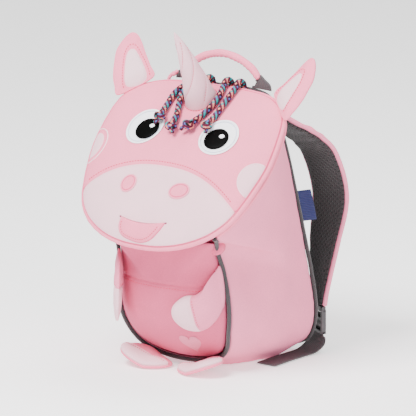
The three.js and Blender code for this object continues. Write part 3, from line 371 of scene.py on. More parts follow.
# The seam meets the outline at this step on the right, and at its mirror image.
leave = int(np.argmin(np.abs(fine_edge[:, 1] - seam_v(fine_edge[:, 0])) + (fine_edge[:, 0] < 0) * 1e3))
seam_end = fine_edge[leave, 0]
top_part = np.vstack([fine_edge[-leave::8], fine_edge[:leave + 1:8]])
low_part = fine_edge[leave:EDGE_STEPS - leave + 1:8]
seam_u = np.linspace(seam_end, -seam_end, 120)
seam_line = np.stack([seam_u, seam_v(seam_u)], 1)
upper_outline = np.vstack([top_part, seam_line[1:-1]])
lower_outline = np.vstack([low_part, seam_line[::-1][1:-1]])


def skin(lift):
    return lambda u, v, out: padded_face(u, v, lift)


for name, outline, middle, rings, material, slot, node in (
        ("face_upper_cloth", upper_outline, 0.3, 44, pink_polyester, "pink_cloth", "face_upper"),
        ("muzzle_cloth", lower_outline, 0.76, 38, pale_polyester, "pale_cloth", "muzzle")):
    piece = pad_disc(name, outline, np.array([0, middle * FACE_LENGTH]), skin(0), skin(-FACE_PAD), rings,
                     material)
    fit(piece, slot, node, fill=0.75)
u = np.linspace(-0.94, 0.94, 300) * seam_end
spot, up = on_skin(u, seam_v(u) - STITCH_ROW)
stitches("muzzle_seam_stitches", spot + 0.1 * up, up, pink_thread, "pink_cloth", long=1.9, every=2.7)


# The bound edge of the face: a strip of the same pink cloth wrapped round the foam's edge,
# and sewn down by a row of stitches on the face.
BINDING = 2.0


def grown(outline, distance):
    """A closed flat outline moved outward along its own normals."""
    along = unit(np.roll(outline, -1, 0)[:, :2] - np.roll(outline, 1, 0)[:, :2])
    moved = outline.copy()
    moved[:, 0] += along[:, 1] * distance
    moved[:, 1] -= along[:, 0] * distance
    return moved


def hoop(name, path, radius, material, sides=16, squeeze=None):
    """A closed piped edge along a closed path; squeeze sets its height over its width
    toward a direction."""
    along = unit(np.roll(path, -1, 0) - np.roll(path, 1, 0))
    up = np.broadcast_to(squeeze[0] if squeeze else [0.02, 0.05, 1.0], path.shape)
    wide = unit(np.cross(along, up))
    tall = np.cross(wide, along)
    angle = np.arange(sides) * 2 * np.pi / sides
    flat = squeeze[1] if squeeze else 1.0
    radius = np.broadcast_to(radius, len(path))[:, None, None]
    rings = path[:, None] + radius * (wide[:, None] * np.cos(angle)[None, :, None]
                                      + flat * tall[:, None] * np.sin(angle)[None, :, None])
    count = len(path)
    faces = [(k * sides + s, k * sides + (s + 1) % sides, (k + 1) % count * sides + (s + 1) % sides,
              (k + 1) % count * sides + s) for k in range(count) for s in range(sides)]
    piece = make_piece(name, rings.reshape(-1, 3), faces, material)
    face_outward(piece)
    return piece


RIM_STEPS = 360
rim_line = face_edge(np.linspace(0, 1, RIM_STEPS, endpoint=False))
bound = grown(rim_line, BINDING - 1.2)
bound_path = on_plane(bound[:, 0], bound[:, 1], crown_bend(bound[:, 1]) - FACE_PAD / 2 - 0.5)
tuck = 1 + 0.03 * np.sin(np.arange(RIM_STEPS) * 2 * np.pi / 7.2) + 0.05 * ripples(bound_path, 30, 12)
binding = hoop("face_bound_edge", bound_path, (BINDING + 0.25) * tuck, pink_polyester)
fit(binding, "pink_cloth", "face_binding")
# The row that closes it shows as a deeper line between the face and the edge.
seam = grown(rim_line, 0.1)
seam_path = on_plane(seam[:, 0], seam[:, 1], crown_bend(seam[:, 1]) + 0.05)
closing_thread = cloth("closing_thread_pink", "#dd5580", grain=0.6, contrast=0.2, rough=0.6, sheen=0.0)
fit(hoop("face_edge_seam", seam_path, 0.42, closing_thread, 8), "pink_cloth")


# The eyes: white satin with a raised satin-stitched edge, a black pupil with an edge of
# the same kind, and a small white light sewn on it.
EYE_U, EYE_V, EYE_WIDE, EYE_TALL, PUPIL = 38, 58, 17.5, 18.5, 11


def ellipse(x, y, wide, tall, count, turn=0.0):
    a = np.arange(count) * 2 * np.pi / count
    p, q, c, s = wide * np.cos(a), tall * np.sin(a), math.cos(turn), math.sin(turn)
    return np.stack([x + p * c - q * s, y + p * s + q * c], 1)


def patch(name, outline, centre, low, high, material, rings=12, dome=0.35):
    """A sewn-on patch over the face, lifted from low at its edge to high in its middle."""
    def top(u, v, out):
        lift = low + (high - low) * (1 - out ** 10) ** 0.5 * (1 + dome * (1 - out ** 2))
        return padded_face(u, v, lift)
    return pad_disc(name, outline, np.asarray(centre, float), top, skin(low - 0.6), rings, material)


def edging(name, outline, lift, radius, material, slot):
    """A raised satin-stitched edge along an outline on the face."""
    path = padded_face(outline[:, 0], outline[:, 1], lift)
    return fit(hoop(name, path, radius, material, 10, squeeze=(FACE_OUT, 0.55)), slot)


# Satin appliqué: close floats of filament, smoother and brighter than the napped cloth.
white_satin = cloth("satin_white", "#f1f1f7", grain=0.7, contrast=0.03, rough=0.5, sheen=0.1, depth=0.12)
lilac_thread = cloth("satin_thread_lilac_grey", "#c9cde0", grain=0.6, contrast=0.08, rough=0.5, sheen=0.1)
black_satin = cloth("satin_black", "#010101", grain=0.7, contrast=0.3, rough=0.5, sheen=0.0, depth=0.15,
                    gloss=0.04)
for side, s in (("left", -1), ("right", 1)):
    eye = np.array([s * EYE_U, EYE_V])
    white = patch(f"eye_{side}_satin", ellipse(*eye, EYE_WIDE - 0.7, EYE_TALL - 0.7, 120), eye, 0.1, 1.0,
                  white_satin)
    fit(white, "white_cloth", f"eye_white_{side}")
    for part, in_by, lift, radius, thread in (("edge", 0.4, 0.75, 0.95, white_satin),
                                              ("outline", 1.9, 1.0, 0.28, lilac_thread)):
        ring = ellipse(*eye, EYE_WIDE - in_by, EYE_TALL - in_by, 180)
        edging(f"eye_{side}_{part}", ring, lift, radius, thread, "white_cloth")
    pupil = np.array([s * EYE_U + 1.9 - 2.4 * s, EYE_V + 2.8])
    black = patch(f"pupil_{side}_satin", ellipse(*pupil, PUPIL - 0.5, PUPIL - 0.5, 96), pupil, 1.3, 2.1,
                  black_satin, 8)
    fit(black, "black_cloth", f"pupil_{side}")
    ring = ellipse(*pupil, PUPIL - 0.4, PUPIL - 0.4, 140)
    edging(f"pupil_{side}_edge", ring, 1.75, 0.6, black_satin, "black_cloth")
    light = pupil + np.array([3.8 if s < 0 else 4.2, -3.4])
    shine = patch(f"pupil_{side}_light", ellipse(*light, 2.5, 2.1, 40), light, 2.2, 2.7, white_satin, 5)
    fit(shine, "white_cloth")


# The nostrils: ovals of pink cloth with a stitched edge, set a little aslant.
NOSTRIL_U, NOSTRIL_V = 26, 116.5
NOSTRIL_HALVES = {"left": (7.6, 8.4), "right": (9.9, 7.4)}
# Satin-stitch thread: close smooth floats that shine a little more than the cloth beside them.
edge_thread = cloth("satin_thread_pink", "#f08aa6", grain=0.5, contrast=0.1, rough=0.5, sheen=0.1)
for side, s in (("left", -1), ("right", 1)):
    spot = np.array([s * NOSTRIL_U, NOSTRIL_V])
    across, tall = NOSTRIL_HALVES[side]

    def oval(in_by, count):
        return ellipse(*spot, across - in_by, tall - in_by, count, -0.3 * s)

    piece = patch(f"nostril_{side}_cloth", oval(0.8, 80), spot, 0.1, 0.8, pink_polyester, 9)
    fit(piece, "tongue_cloth", f"nostril_{side}")
    edging(f"nostril_{side}_edge", oval(1.7, 120), 0.85, 0.34, closing_thread, "tongue_cloth")
    edging(f"nostril_{side}_rim", oval(0.5, 120), 0.45, 0.7, edge_thread, "tongue_cloth")


# The cheek spots: flat pale patches that run out under the bound edge. The left one has
# a second line of pale embroidery round it.
def carried_frames(path):
    """Two directions across a path at each of its points, turning as little as they can."""
    along = unit(np.gradient(path, axis=0))
    first = np.cross(along[0], [0.31, 0.17, 0.93])
    across = [first / np.linalg.norm(first)]
    for k in range(1, len(path)):
        step = across[-1] - along[k] * np.dot(across[-1], along[k])
        across.append(step / np.linalg.norm(step))
    across = np.array(across)
    return across, np.cross(along, across)


def round_cord(path, radius, sides):
    """Points and faces of a cord with rounded ends. radius is one size, one for each point
    of the path, or a grid over the points and the sides."""
    across, other = carried_frames(path)
    size = np.asarray(radius, float)
    size = np.broadcast_to(size[:, None] if size.ndim == 1 else size, (len(path), sides))
    angle = np.arange(sides) / sides * 2 * np.pi
    rings = (path[:, None] + size[..., None] * (across[:, None] * np.cos(angle)[None, :, None]
                                                + other[:, None] * np.sin(angle)[None, :, None]))
    faces = [(k * sides + s, k * sides + (s + 1) % sides, (k + 1) * sides + (s + 1) % sides,
              (k + 1) * sides + s) for k in range(len(path) - 1) for s in range(sides)]
    reach = size.mean(axis=1)
    tips = [path[0] - unit(path[1] - path[0]) * 0.45 * reach[0],
            path[-1] + unit(path[-1] - path[-2]) * 0.45 * reach[-1]]
    first, far = len(path) * sides, (len(path) - 1) * sides
    faces += [(first, (s + 1) % sides, s) for s in range(sides)]
    faces += [(first + 1, far + s, far + (s + 1) % sides) for s in range(sides)]
    return np.vstack([rings.reshape(-1, 3), tips]), faces


def cut_by_edge(outline, margin=0.2):
    """Points of an outline pulled back to the face's edge."""
    away = outline - FACE_CENTRE
    far = np.linalg.norm(away, axis=1)
    most = face_reach(np.arctan2(away[:, 1], away[:, 0])) - margin
    return FACE_CENTRE + away * np.minimum(1, most / far)[:, None]


# The same satin-stitch thread in the muzzle's pale pink.
pale_thread = cloth("satin_thread_pale", "#efc5d0", grain=0.5, contrast=0.06, rough=0.55, sheen=0.1)
for side, u, v, wide, tall, ring_out in (("left", -85, 80, 10.5, 13, 4.2),
                                         ("right", 85.5, 90, 14, 16.6, -0.3)):
    spot = cut_by_edge(ellipse(u, v, wide, tall, 120))
    middle = np.array([u * 0.93, v])
    piece = patch(f"cheek_spot_{side}_cloth", spot, middle, 0.1, 0.55, pale_polyester, 10, dome=0.1)
    fit(piece, "pale_cloth", f"cheek_spot_{side}")
    ring = ellipse(u, v, wide + ring_out, tall + ring_out, 200)
    away = ring - FACE_CENTRE
    kept = np.linalg.norm(away, axis=1) < face_reach(np.arctan2(away[:, 1], away[:, 0])) - 0.8
    start = int(np.argmax(kept & ~np.roll(kept, 1)))
    ring = np.roll(ring, -start, 0)[:int(kept.sum())]
    points, faces = round_cord(padded_face(ring[:, 0], ring[:, 1], 0.25), 0.55, 8)
    fit(make_piece(f"cheek_ring_{side}", points, faces, pale_thread), "pale_cloth")


# The mouth: a slit with a rolled lip over it, and the tongue, a small stuffed half-moon
# that hangs out of it and is topstitched along its lower edge.
MOUTH_V, TONGUE_WIDE, TONGUE_LONG, TONGUE_STUFFING, TONGUE_HEM = 147.5, 22, 16, 3.3, 0.86
TONGUE = [[-1.0, 0], [-1.03, 0.42], [-0.86, 0.8], [-0.4, 0.98], [0.1, 1.02], [0.52, 0.85], [0.82, 0.45],
          [1.02, 0]]
share = np.linspace(-1, 1, 80)
mouth_u = share * TONGUE_WIDE * 1.08
mouth_v = MOUTH_V - 1.2 + 3.5 * (1 - share ** 2)
# The slit's inside and the mouth's corners in painted shade: a dark rose cord along the slit
# and small dark rose patches at the corners.
slit_shade_rose = cloth("painted_slit_shade_dark_rose", "#8a3a55", contrast=0.05)
for name, above, lift, radius, thin, material, slot, nodes in (
        ("mouth_slit_shade", 0, 0.1, 0.62, 0.6, slit_shade_rose, "dark_slit", ["mouth_slit"]),
        ("mouth_lip", 1.15, 0.15, 0.8, 0.7, pale_polyester, "pale_cloth", [])):
    line = padded_face(mouth_u, mouth_v - above, lift)
    points, faces = round_cord(line, radius * (1 - thin * share ** 6), 10)
    fit(make_piece(name, points, faces, material), slot, *nodes)
for corner, u in (("left", -1.06), ("right", 1.06)):
    spot = np.array([u * TONGUE_WIDE, MOUTH_V - 1.3])
    piece = patch(f"mouth_corner_shade_{corner}", ellipse(*spot, 1.0, 0.8, 30), spot, 0.05, 0.3, slit_shade_rose, 4)
    fit(piece, "dark_slit")
hang = spline([[a * TONGUE_WIDE, MOUTH_V - 0.8 + b * (TONGUE_LONG + 1)] for a, b in TONGUE])
back = np.linspace(1.0, -0.98, 70)
tongue_edge = np.vstack([hang(np.linspace(0, 1, 110)),
                         np.stack([back * TONGUE_WIDE, MOUTH_V - 1.0 + 3.3 * (1 - back ** 2)], 1)])
tongue_middle = np.array([-1, MOUTH_V + 2 + 0.5 * TONGUE_LONG])


def tongue_lift(out):
    return 0.4 + TONGUE_STUFFING * (1 - out ** 4) ** 0.5


tongue = pad_disc("tongue_cloth_pad", tongue_edge, tongue_middle,
                  lambda u, v, out: padded_face(u, v, tongue_lift(out) - 0.45 * near(out - TONGUE_HEM, 0.05)),
                  skin(-0.4), 20, pink_polyester)
fit(tongue, "tongue_cloth", "tongue", fill=0.5)
hem = tongue_middle + TONGUE_HEM * (tongue_edge[6:104] - tongue_middle)
spot = padded_face(hem[:, 0], hem[:, 1], tongue_lift(TONGUE_HEM) - 0.2)
stitches("tongue_stitches", spot, FACE_OUT, pink_thread, "tongue_cloth", 1.5, 2.2, 0.34)
line = padded_face(tongue_edge[:110, 0], tongue_edge[:110, 1], 0.15)
points, faces = round_cord(line, 0.38, 8)
fit(make_piece("tongue_edge_seam", points, faces, closing_thread), "tongue_cloth")


# The horn: a stuffed cone of the pale cloth, sewn from gores whose seams wind round it,
# and hemmed onto the forehead with pink thread.
HORN_RADIUS, HORN_LENGTH = 14, 69
HORN_SEAMS = [math.radians(56 - a) for a in (-100, -7, 83, 173)]
HORN_WIND = math.radians(250)
# The brushed cloth in the horn's greyer white, which keeps its winding seams easy to see.
horn_polyester = cloth("brushed_polyester_horn", "#dfb2bd", contrast=0.06)


def on_face(u, v, lift=0.0):
    return on_plane(u, v, face_height(u, v) + lift)


horn_foot = on_face(HORN_U, HORN_V)
horn_bend = horn_foot + np.array([0.05, -0.25, 0.42]) * HORN_LENGTH
horn_tip = horn_foot + np.array([-0.13, -0.4, 0.91]) * HORN_LENGTH


def horn_axis(t):
    t = np.asarray(t)[..., None]
    spot = (1 - t) ** 2 * horn_foot + 2 * t * (1 - t) * horn_bend + t ** 2 * horn_tip
    along = unit(2 * (1 - t) * (horn_bend - horn_foot) + 2 * t * (horn_tip - horn_bend))
    across = unit(np.array([1.0, 0, 0]) - along * along[..., :1])
    return spot, along, across, np.cross(across, along)


def horn_skin(t, angle, lift=0.0):
    spot, along, across, down = horn_axis(t)
    radius = (HORN_RADIUS * (1 - t) ** 0.86 * (1 + 0.06 * np.sin(np.pi * t))
              + 3.4 * np.sqrt(np.clip(1 - t, 0, 1)) * t ** 3)
    for start in HORN_SEAMS:
        off = (angle - start + HORN_WIND * t + np.pi) % (2 * np.pi) - np.pi
        radius = radius - 0.75 * near(off * radius, 1.3) * (1 - t) ** 0.3
    radius = np.maximum(radius, 0.02) + lift
    free = spot + radius[..., None] * (across * np.cos(angle)[..., None] + down * np.sin(angle)[..., None])
    wide = HORN_RADIUS + lift
    foot = padded_face(HORN_U + wide * np.cos(angle), HORN_V + wide * np.sin(angle), 0.3)
    settle = smooth(t / 0.14)[..., None]
    return foot * (1 - settle) + free * settle


steps, sides = 130, 96
t, angle = np.meshgrid(np.linspace(0, 1, steps) ** 0.9, np.arange(sides) * 2 * np.pi / sides, indexing="ij")
rows = horn_skin(t, angle).reshape(-1, 3)
rows = rows + 0.3 * ripples(rows, 16, 21)[:, None] * unit(rows - rows.mean(0))
tip = len(rows)
faces = [(k * sides + s, k * sides + (s + 1) % sides, (k + 1) * sides + (s + 1) % sides, (k + 1) * sides + s)
         for k in range(steps - 1) for s in range(sides)]
faces += [(tip, (s + 1) % sides, s) for s in range(sides)]
faces += [(tip + 1, (steps - 1) * sides + s, (steps - 1) * sides + (s + 1) % sides) for s in range(sides)]
rows = np.vstack([rows, padded_face(HORN_U, HORN_V, 0.2)[None], horn_tip[None]])
horn = make_piece("horn_cloth", rows, faces, horn_polyester)
face_outward(horn)
fit(horn, "pale_cloth", "horn", fill=0.9)
for k, start in enumerate(HORN_SEAMS):
    t = np.linspace(0.1, 0.86, 90)
    angle = start - HORN_WIND * t
    spot = horn_skin(t, angle, 0.15)
    stitches(f"horn_seam_{k + 1}", spot, unit(spot - horn_axis(t)[0]), pink_thread, "pale_cloth", 1.5, 2.3,
             0.3)
angle = np.linspace(0, 2 * np.pi, 120)
spot = padded_face(HORN_U + HORN_HEM * np.cos(angle), HORN_V + HORN_HEM * np.sin(angle), 0.5)
stitches("horn_foot_stitches", spot, FACE_OUT, pink_thread, "pink_cloth", 1.7, 2.6, 0.36)


# The hair: four braided cords that come over the face's bound edge beside the horn and
# end in knots on the forehead. Each is a round braid of twelve plied strands.
HAIR, KNOT = 2.7, 4.6
# Over the edge the cords follow these v and h, and on the forehead these u and v.
HAIR_OVER_EDGE = [[-5.2, -14.8], [-7.8, -9.8], [-6.4, -4.6], [-2.5, -1.9]]
HAIR_ROUTES = {
    1: [[-20.2, 4], [-25.2, 11], [-27.6, 20], [-27, 33], [-24.8, 48]],
    2: [[-13, 3.5], [-17.8, 10], [-20.4, 18], [-17, 29], [-12, 42], [-8.6, 56.5]],
    3: [[12.4, 4], [14.8, 11], [16.4, 20], [15, 31], [11.4, 42], [7.4, 53]],
    4: [[24.4, 4], [25.6, 16], [25.6, 28], [25, 39], [24.6, 50.5]],
}
HAIR_START = {1: -16.8, 2: -9, 3: 10.5, 4: 23}
PLUM, TEAL, LILAC, CREAM, NIGHT = "#4d0227", "#008f93", "#5063a3", "#d98277", "#0a0308"
# The strand colours, in one winding direction and in the other.
STRANDS = [[PLUM, TEAL, PLUM, CREAM, PLUM, NIGHT], [TEAL, PLUM, LILAC, PLUM, CREAM, PLUM]]
BRAID_STEP = 2.8  # from one strand to the next along the cord


def evenly(curve, count, start=0.0, end=1.0):
    """Points at equal distances along a curve, between two shares of its length."""
    fine = curve(np.linspace(0, 1, 1200))
    run = run_along(fine)
    want = np.linspace(start, end, count) * run[-1]
    return np.stack([np.interp(want, run, fine[:, k]) for k in range(fine.shape[1])], 1)


def braid_at(turn, run):
    """Height 0..1 of the braid, and which strand lies on top: its direction and number."""
    a, b = turn * 6 + run / BRAID_STEP, turn * 6 - run / BRAID_STEP
    ia, ib = np.floor(a).astype(int), np.floor(b).astype(int)
    fa, fb = a - ia - 0.5, b - ib - 0.5
    over = (ia + ib) % 2 == 0
    across, along = np.where(over, fa, fb), np.where(over, fb, fa)
    height = np.cos(np.pi * across) ** 0.8 * (0.45 + 0.55 * np.cos(np.pi * along))
    return height, np.where(over, 0, 1), np.where(over, ia % 6, ib % 6)


def braided(name, path, radius, material, taper=None):
    """A braided cord along a path, its strands standing out of the core."""
    sides = 36
    run = run_along(path)
    turn, along = np.meshgrid(np.arange(sides) / sides, run)
    height, way, strand = braid_at(turn + 0.0008 * along, along)
    size = radius * (0.86 + 0.2 * height)
    if taper is not None:
        size = size * taper[:, None]
    dyes = np.array([[linear(code) for code in row] for row in STRANDS])
    colours = dyes[way, strand]
    # Painted shade: each strand darkens to 55% toward the grooves between the strands.
    colours[..., :3] *= (0.55 + 0.45 * height ** 0.5)[..., None]
    points, faces = round_cord(path, size, sides)
    tips = np.array([linear(PLUM), linear(PLUM)])
    colours = np.vstack([colours.reshape(-1, 4), tips])
    return make_piece(name, points, faces, material, colours=colours)


# Braided polypropylene: each strand is dyed in one colour, and its fine filaments, about
# 0.4 mm in the noise, give it a soft gloss along the ridges and a broken edge. The colour it
# reads from the cord also holds painted shade in the grooves between the strands.
braided_polypropylene, tree, shader = new_material("braided_polypropylene")
place = add(tree, "TexCoord").outputs["Object"]
dye_and_groove_shade = add(tree, "Attribute", attribute_name="dye_and_groove_shade").outputs["Color"]
fibres = add(tree, "TexNoise", {"Vector": place, "Scale": 2600, "Detail": 3}).outputs["Fac"]
worn = add(tree, "MapRange", {"Value": fibres, "From Min": 0.3, "From Max": 0.7, "To Min": 0.82,
                              "To Max": 1.14}).outputs["Result"]
finish(tree, shader, dye_and_groove_shade, worn, 0.62, fibres, 0.35, 0.0002)
shader.inputs["Specular IOR Level"].default_value = 0.2


def hair_route(number):
    rows = HAIR_ROUTES[number]
    over = [on_plane(HAIR_START[number], v, h) for v, h in HAIR_OVER_EDGE]
    lay = [on_face(u, v, HAIR + 0.6 if k < len(rows) - 1 else KNOT + 1.9)
           for k, (u, v) in enumerate(rows)]
    return spline(np.array(over + lay))


for number in HAIR_ROUTES:
    route = hair_route(number)
    whole = evenly(route, 240)
    run = np.linalg.norm(np.diff(whole, axis=0), axis=1).sum()
    centre, heading = whole[-1], unit(whole[-1] - whole[-4])
    stop = 1 - 2.6 / run
    lead = evenly(route, int(run * stop / 0.4), 0, stop)
    cord = braided(f"hair_cord_{number}_braid", lead, HAIR, braided_polypropylene)
    fit(cord, "hair_cord", f"hair_cord_{number}")

    # An overhand knot pulled tight, with the sealed end of the cord just out of it.
    t = np.linspace(0, 2 * np.pi, 150) + 0.7 * number
    loop = np.stack([np.sin(t) + 2 * np.sin(2 * t), np.cos(t) - 2 * np.cos(2 * t), -1.5 * np.sin(3 * t)], 1)
    side = unit(np.cross(FACE_OUT, heading))
    loop = centre + 0.98 * (loop[:, :1] * side + loop[:, 1:2] * heading * 1.05 + loop[:, 2:] * FACE_OUT)
    knot = braided(f"hair_knot_{number}_braid", loop, 2.5, braided_polypropylene)
    fit(knot, "hair_cord", f"hair_knot_{number}")
    tail_way = unit(heading + 0.35 * side * (-1) ** number - 0.35 * FACE_OUT)
    tail = centre + tail_way * np.linspace(2.5, 8.2, 18)[:, None]
    end = braided(f"hair_end_{number}", tail, 2.1, braided_polypropylene,
                  taper=1 - 0.25 * np.linspace(0, 1, 18) ** 3)
    fit(end, "hair_cord")


# The ears: stuffed leaves of pink cloth sewn into the bound edge, each with a pale cloth
# let into its front. A row of pink stitches runs round the pale cloth.
EAR_LONG, EAR_HALF, EAR_THICK = 47, 20, 8
EAR_ROOTS = ((0.948, 0.188), (0.66, 0.03))  # on the face's edge, as shares of its half width and length
EAR = [[0.86, 0], [0.8, 0.19], [0.68, 0.37], [0.38, 0.6], [0, 0.83], [-0.5, 0.96], [-0.9, 1], [-1.1, 0.93],
       [-1.14, 0.78], [-1.06, 0.5], [-1.0, 0.25], [-0.92, 0], [0, -0.03]]
EAR_INNER = [[-0.62, 0.03], [0.33, 0.04], [0.1, 0.36], [-0.3, 0.62], [-0.6, 0.68], [-0.76, 0.55]]
# Brushed polyester, paler than the muzzle's and greyed with painted shade, so that the ears
# look hollow.
ear_lining = cloth("brushed_polyester_ear_lining", "#e2bfc7", contrast=0.05)
for side, s in (("left", -1), ("right", 1)):
    feet = [on_plane(s * a * FACE_HALF, b * FACE_LENGTH, crown_bend(b * FACE_LENGTH))
            for a, b in EAR_ROOTS]
    across = unit(feet[0] - feet[1])
    up = np.array([s * 0.681, 0.334, 0.651])
    up = unit(up - across * (up @ across))
    front = unit(np.cross(across, up) * s)
    foot = (feet[0] + feet[1]) / 2 + up * 6.1
    ear_edge, lining_edge = (spline(np.array(shape) * [EAR_HALF, EAR_LONG], closed=True)
                             for shape in (EAR, EAR_INNER))
    outline = ear_edge(np.linspace(0, 1, 150, endpoint=False))
    inset = lining_edge(np.linspace(0, 1, 160, endpoint=False))
    middle, inner_middle = (np.array([-0.2 * EAR_HALF, share * EAR_LONG]) for share in (0.42, 0.3))
    outer_reach, inner_reach = reach_of(outline, middle), reach_of(inset, inner_middle)

    def ear_point(a, b, out, sign, lift=0.0):
        rise = 0.9 + (EAR_THICK / 2 + 0.4 - 0.9) * (1 - np.clip(out, 0, 1) ** 3)
        if sign > 0:
            da, db = a - inner_middle[0], b - inner_middle[1]
            share = np.hypot(da, db) / inner_reach(np.arctan2(db, da))
            rise = rise - 0.9 * near(share - 1.0, 0.09) - 0.35 * near((share - 1.22), 0.08)
        rise = rise * (0.72 + 0.28 * smooth(b / 9)) + lift
        spot = (foot + np.multiply.outer(a, across) + np.multiply.outer(b, up)
                + np.multiply.outer(sign * rise + 3 * (b / EAR_LONG) ** 2, front))
        return spot + 0.4 * ripples(spot, 19, 31 + (s > 0))[..., None] * front

    leaf = pad_disc(f"ear_{side}_cloth", outline, middle, lambda a, b, o: ear_point(a, b, o, 1),
                    lambda a, b, o: ear_point(a, b, o, -1), 30, pink_polyester)
    fit(leaf, "pink_cloth", f"ear_{side}", fill=0.8)

    def share_of(a, b):
        da, db = a - middle[0], b - middle[1]
        return np.hypot(da, db) / outer_reach(np.arctan2(db, da))

    lining = pad_disc(f"ear_{side}_lining", inset, inner_middle,
                      lambda a, b, o: ear_point(a, b, share_of(a, b), 1, 0.28 * (1 - o ** 8)),
                      lambda a, b, o: ear_point(a, b, share_of(a, b), 1, -0.9), 16, ear_lining)
    fit(lining, "pale_cloth", f"ear_inner_{side}")
    row = inner_middle + (lining_edge(np.linspace(0.2, 1.12, 200)) - inner_middle) * 1.2
    row = row[row[:, 1] > 1.5]
    spot = ear_point(row[:, 0], row[:, 1], share_of(row[:, 0], row[:, 1]), 1, 0.25)
    stitches(f"ear_{side}_stitches", spot, front, pink_thread, "pink_cloth", 1.7, 2.5, 0.36)


# The bag's body. One long strip of pink cloth over foam runs all round, from the back
# seam to the front seam. It sags at the floor and sinks in under the edge of the face.
BAG_HEIGHT, BACK_HALF, BACK_FOOT_Y, BACK_LEAN = 236, 74, 60, 42
BELLY_HALF, BELLY_TOP, BELLY_FRONT, BELLY_SWELL = 57, 127, 58, 20
CLOTH, SIDE_SWELL, BASE_SAG, SIDE_DENT, PIPING, GAP = 2.2, 6, 5, 4, 1.8, 0.3
# Down the face's edge: the share of its length, then x and z shares of the back seam.
UPPER_ROWS = np.array([
    [0, 0, 1], [0.005, 0.38, 0.999], [0.03, 0.6, 0.985], [0.094, 0.69, 0.945], [0.182, 0.74, 0.88],
    [0.353, 0.81, 0.755], [0.5, 0.86, 0.635], [0.647, 0.9, 0.53], [0.765, 0.93, 0.445], [0.84, 0.95, 0.39]])
# Below the chin: x, y and z shares of the front seam, then x and z shares of the back one.
LOWER_ROWS = np.array([
    [1.01, 1.36, 0.985, 0.965, 0.355], [0.93, 1.2, 0.885, 0.975, 0.312], [0.95, 1.08, 0.75, 0.985, 0.27],
    [0.99, 1.03, 0.59, 0.99, 0.228], [1, 1, 0.43, 0.99, 0.186], [0.95, 0.95, 0.3, 0.97, 0.14],
    [0.84, 0.83, 0.175, 0.92, 0.093], [0.65, 0.74, 0.095, 0.81, 0.047], [0.35, 0.7, 0.052, 0.54, 0.02],
    [0, 0.69, 0.04, 0, 0.013]])


def back_y(z):
    return BACK_FOOT_Y - BACK_LEAN * z / BAG_HEIGHT


def seam_loop(stations):
    left = stations[1:-1][::-1] * [-1, 1, 1]
    return spline(np.vstack([stations, left]), closed=True)


def width_at(v):
    return FACE_HALF * np.interp(v / FACE_LENGTH, FACE_OUTLINE[:, 1], FACE_OUTLINE[:, 0])


down = UPPER_ROWS[:, 0] * FACE_LENGTH
front_upper = on_plane(np.maximum(0, width_at(down) - 1), down + np.maximum(0, 1 - 4 * UPPER_ROWS[:, 0]),
                       crown_bend(down) - 10 + 1.6 * np.maximum(0, 1 - 6 * UPPER_ROWS[:, 0]))
front_lower = LOWER_ROWS[:, :3] * [BELLY_HALF, -BELLY_FRONT, BELLY_TOP]
front_seam = seam_loop(np.vstack([front_upper, front_lower]))
back_rows = np.vstack([UPPER_ROWS[:, 1:], LOWER_ROWS[:, 3:]]) * [BACK_HALF, BAG_HEIGHT]
back_seam = seam_loop(np.stack([back_rows[:, 0], back_y(back_rows[:, 1]), back_rows[:, 1]], 1))
STATIONS = 2 * (len(UPPER_ROWS) + len(LOWER_ROWS) - 1)
CORNER = len(UPPER_ROWS) / STATIONS  # where the belly's piping begins


def side_point(w, q, folds=1.0):
    w, q = np.broadcast_arrays(np.asarray(w, float) % 1, np.asarray(q, float))
    flat, share = w.ravel(), q.ravel()[:, None]
    front, back = front_seam(flat), back_seam(flat)
    point = front * (1 - share) + back * share
    ahead = front_seam(flat + 0.004) * (1 - share) + back_seam(flat + 0.004) * share
    step = ahead - point
    outward = unit(np.stack([-step[:, 2], 0 * flat, step[:, 0]], 1))
    from_top = np.minimum(flat, 1 - flat) * 2
    q1 = share[:, 0]
    full = SIDE_SWELL * smooth((from_top - 0.2) / 0.25) + BASE_SAG * smooth((from_top - 0.885) / 0.06)
    dent = SIDE_DENT * np.exp(-((from_top - 0.56) / 0.09) ** 2 - ((q1 - 0.22) / 0.16) ** 2)
    out = full * np.sin(np.pi * q1) - dent
    if folds:
        # Soft upright waves in the wall, and folds that fan out from under the chin.
        wall = smooth((from_top - 0.3) / 0.15) * (1 - smooth((from_top - 0.84) / 0.08))
        out = out + folds * wall * (1.5 * np.sin(2 * np.pi * (q1 * 2.1 + 0.15 * np.sin(9 * from_top)) + 0.6)
                                    * np.sin(np.pi * q1) ** 0.6)
        fan = (from_top - 0.6) * 5 - (q1 - 0.1) * 1.6
        out = out - folds * 0.7 * near(fan, 0.5) * smooth(q1 / 0.1) * (1 - smooth((q1 - 0.45) / 0.4))
        out = out + folds * 0.9 * ripples(point, 34, 41) * np.sin(np.pi * np.clip(q1, 0, 1)) ** 0.7
        edge = np.minimum(q1, 1 - q1)
        pucker = np.sin(2 * np.pi * flat * 40 + 2 * np.sin(flat * 31))
        out = out + folds * 0.14 * pucker * near(edge - 0.05, 0.035)
        out = out - 1.5 * near(edge, 0.03)
    point = point + out[:, None] * outward
    point[:, 2] = np.maximum(point[:, 2], 0.05)
    return point.reshape(w.shape + (3,))


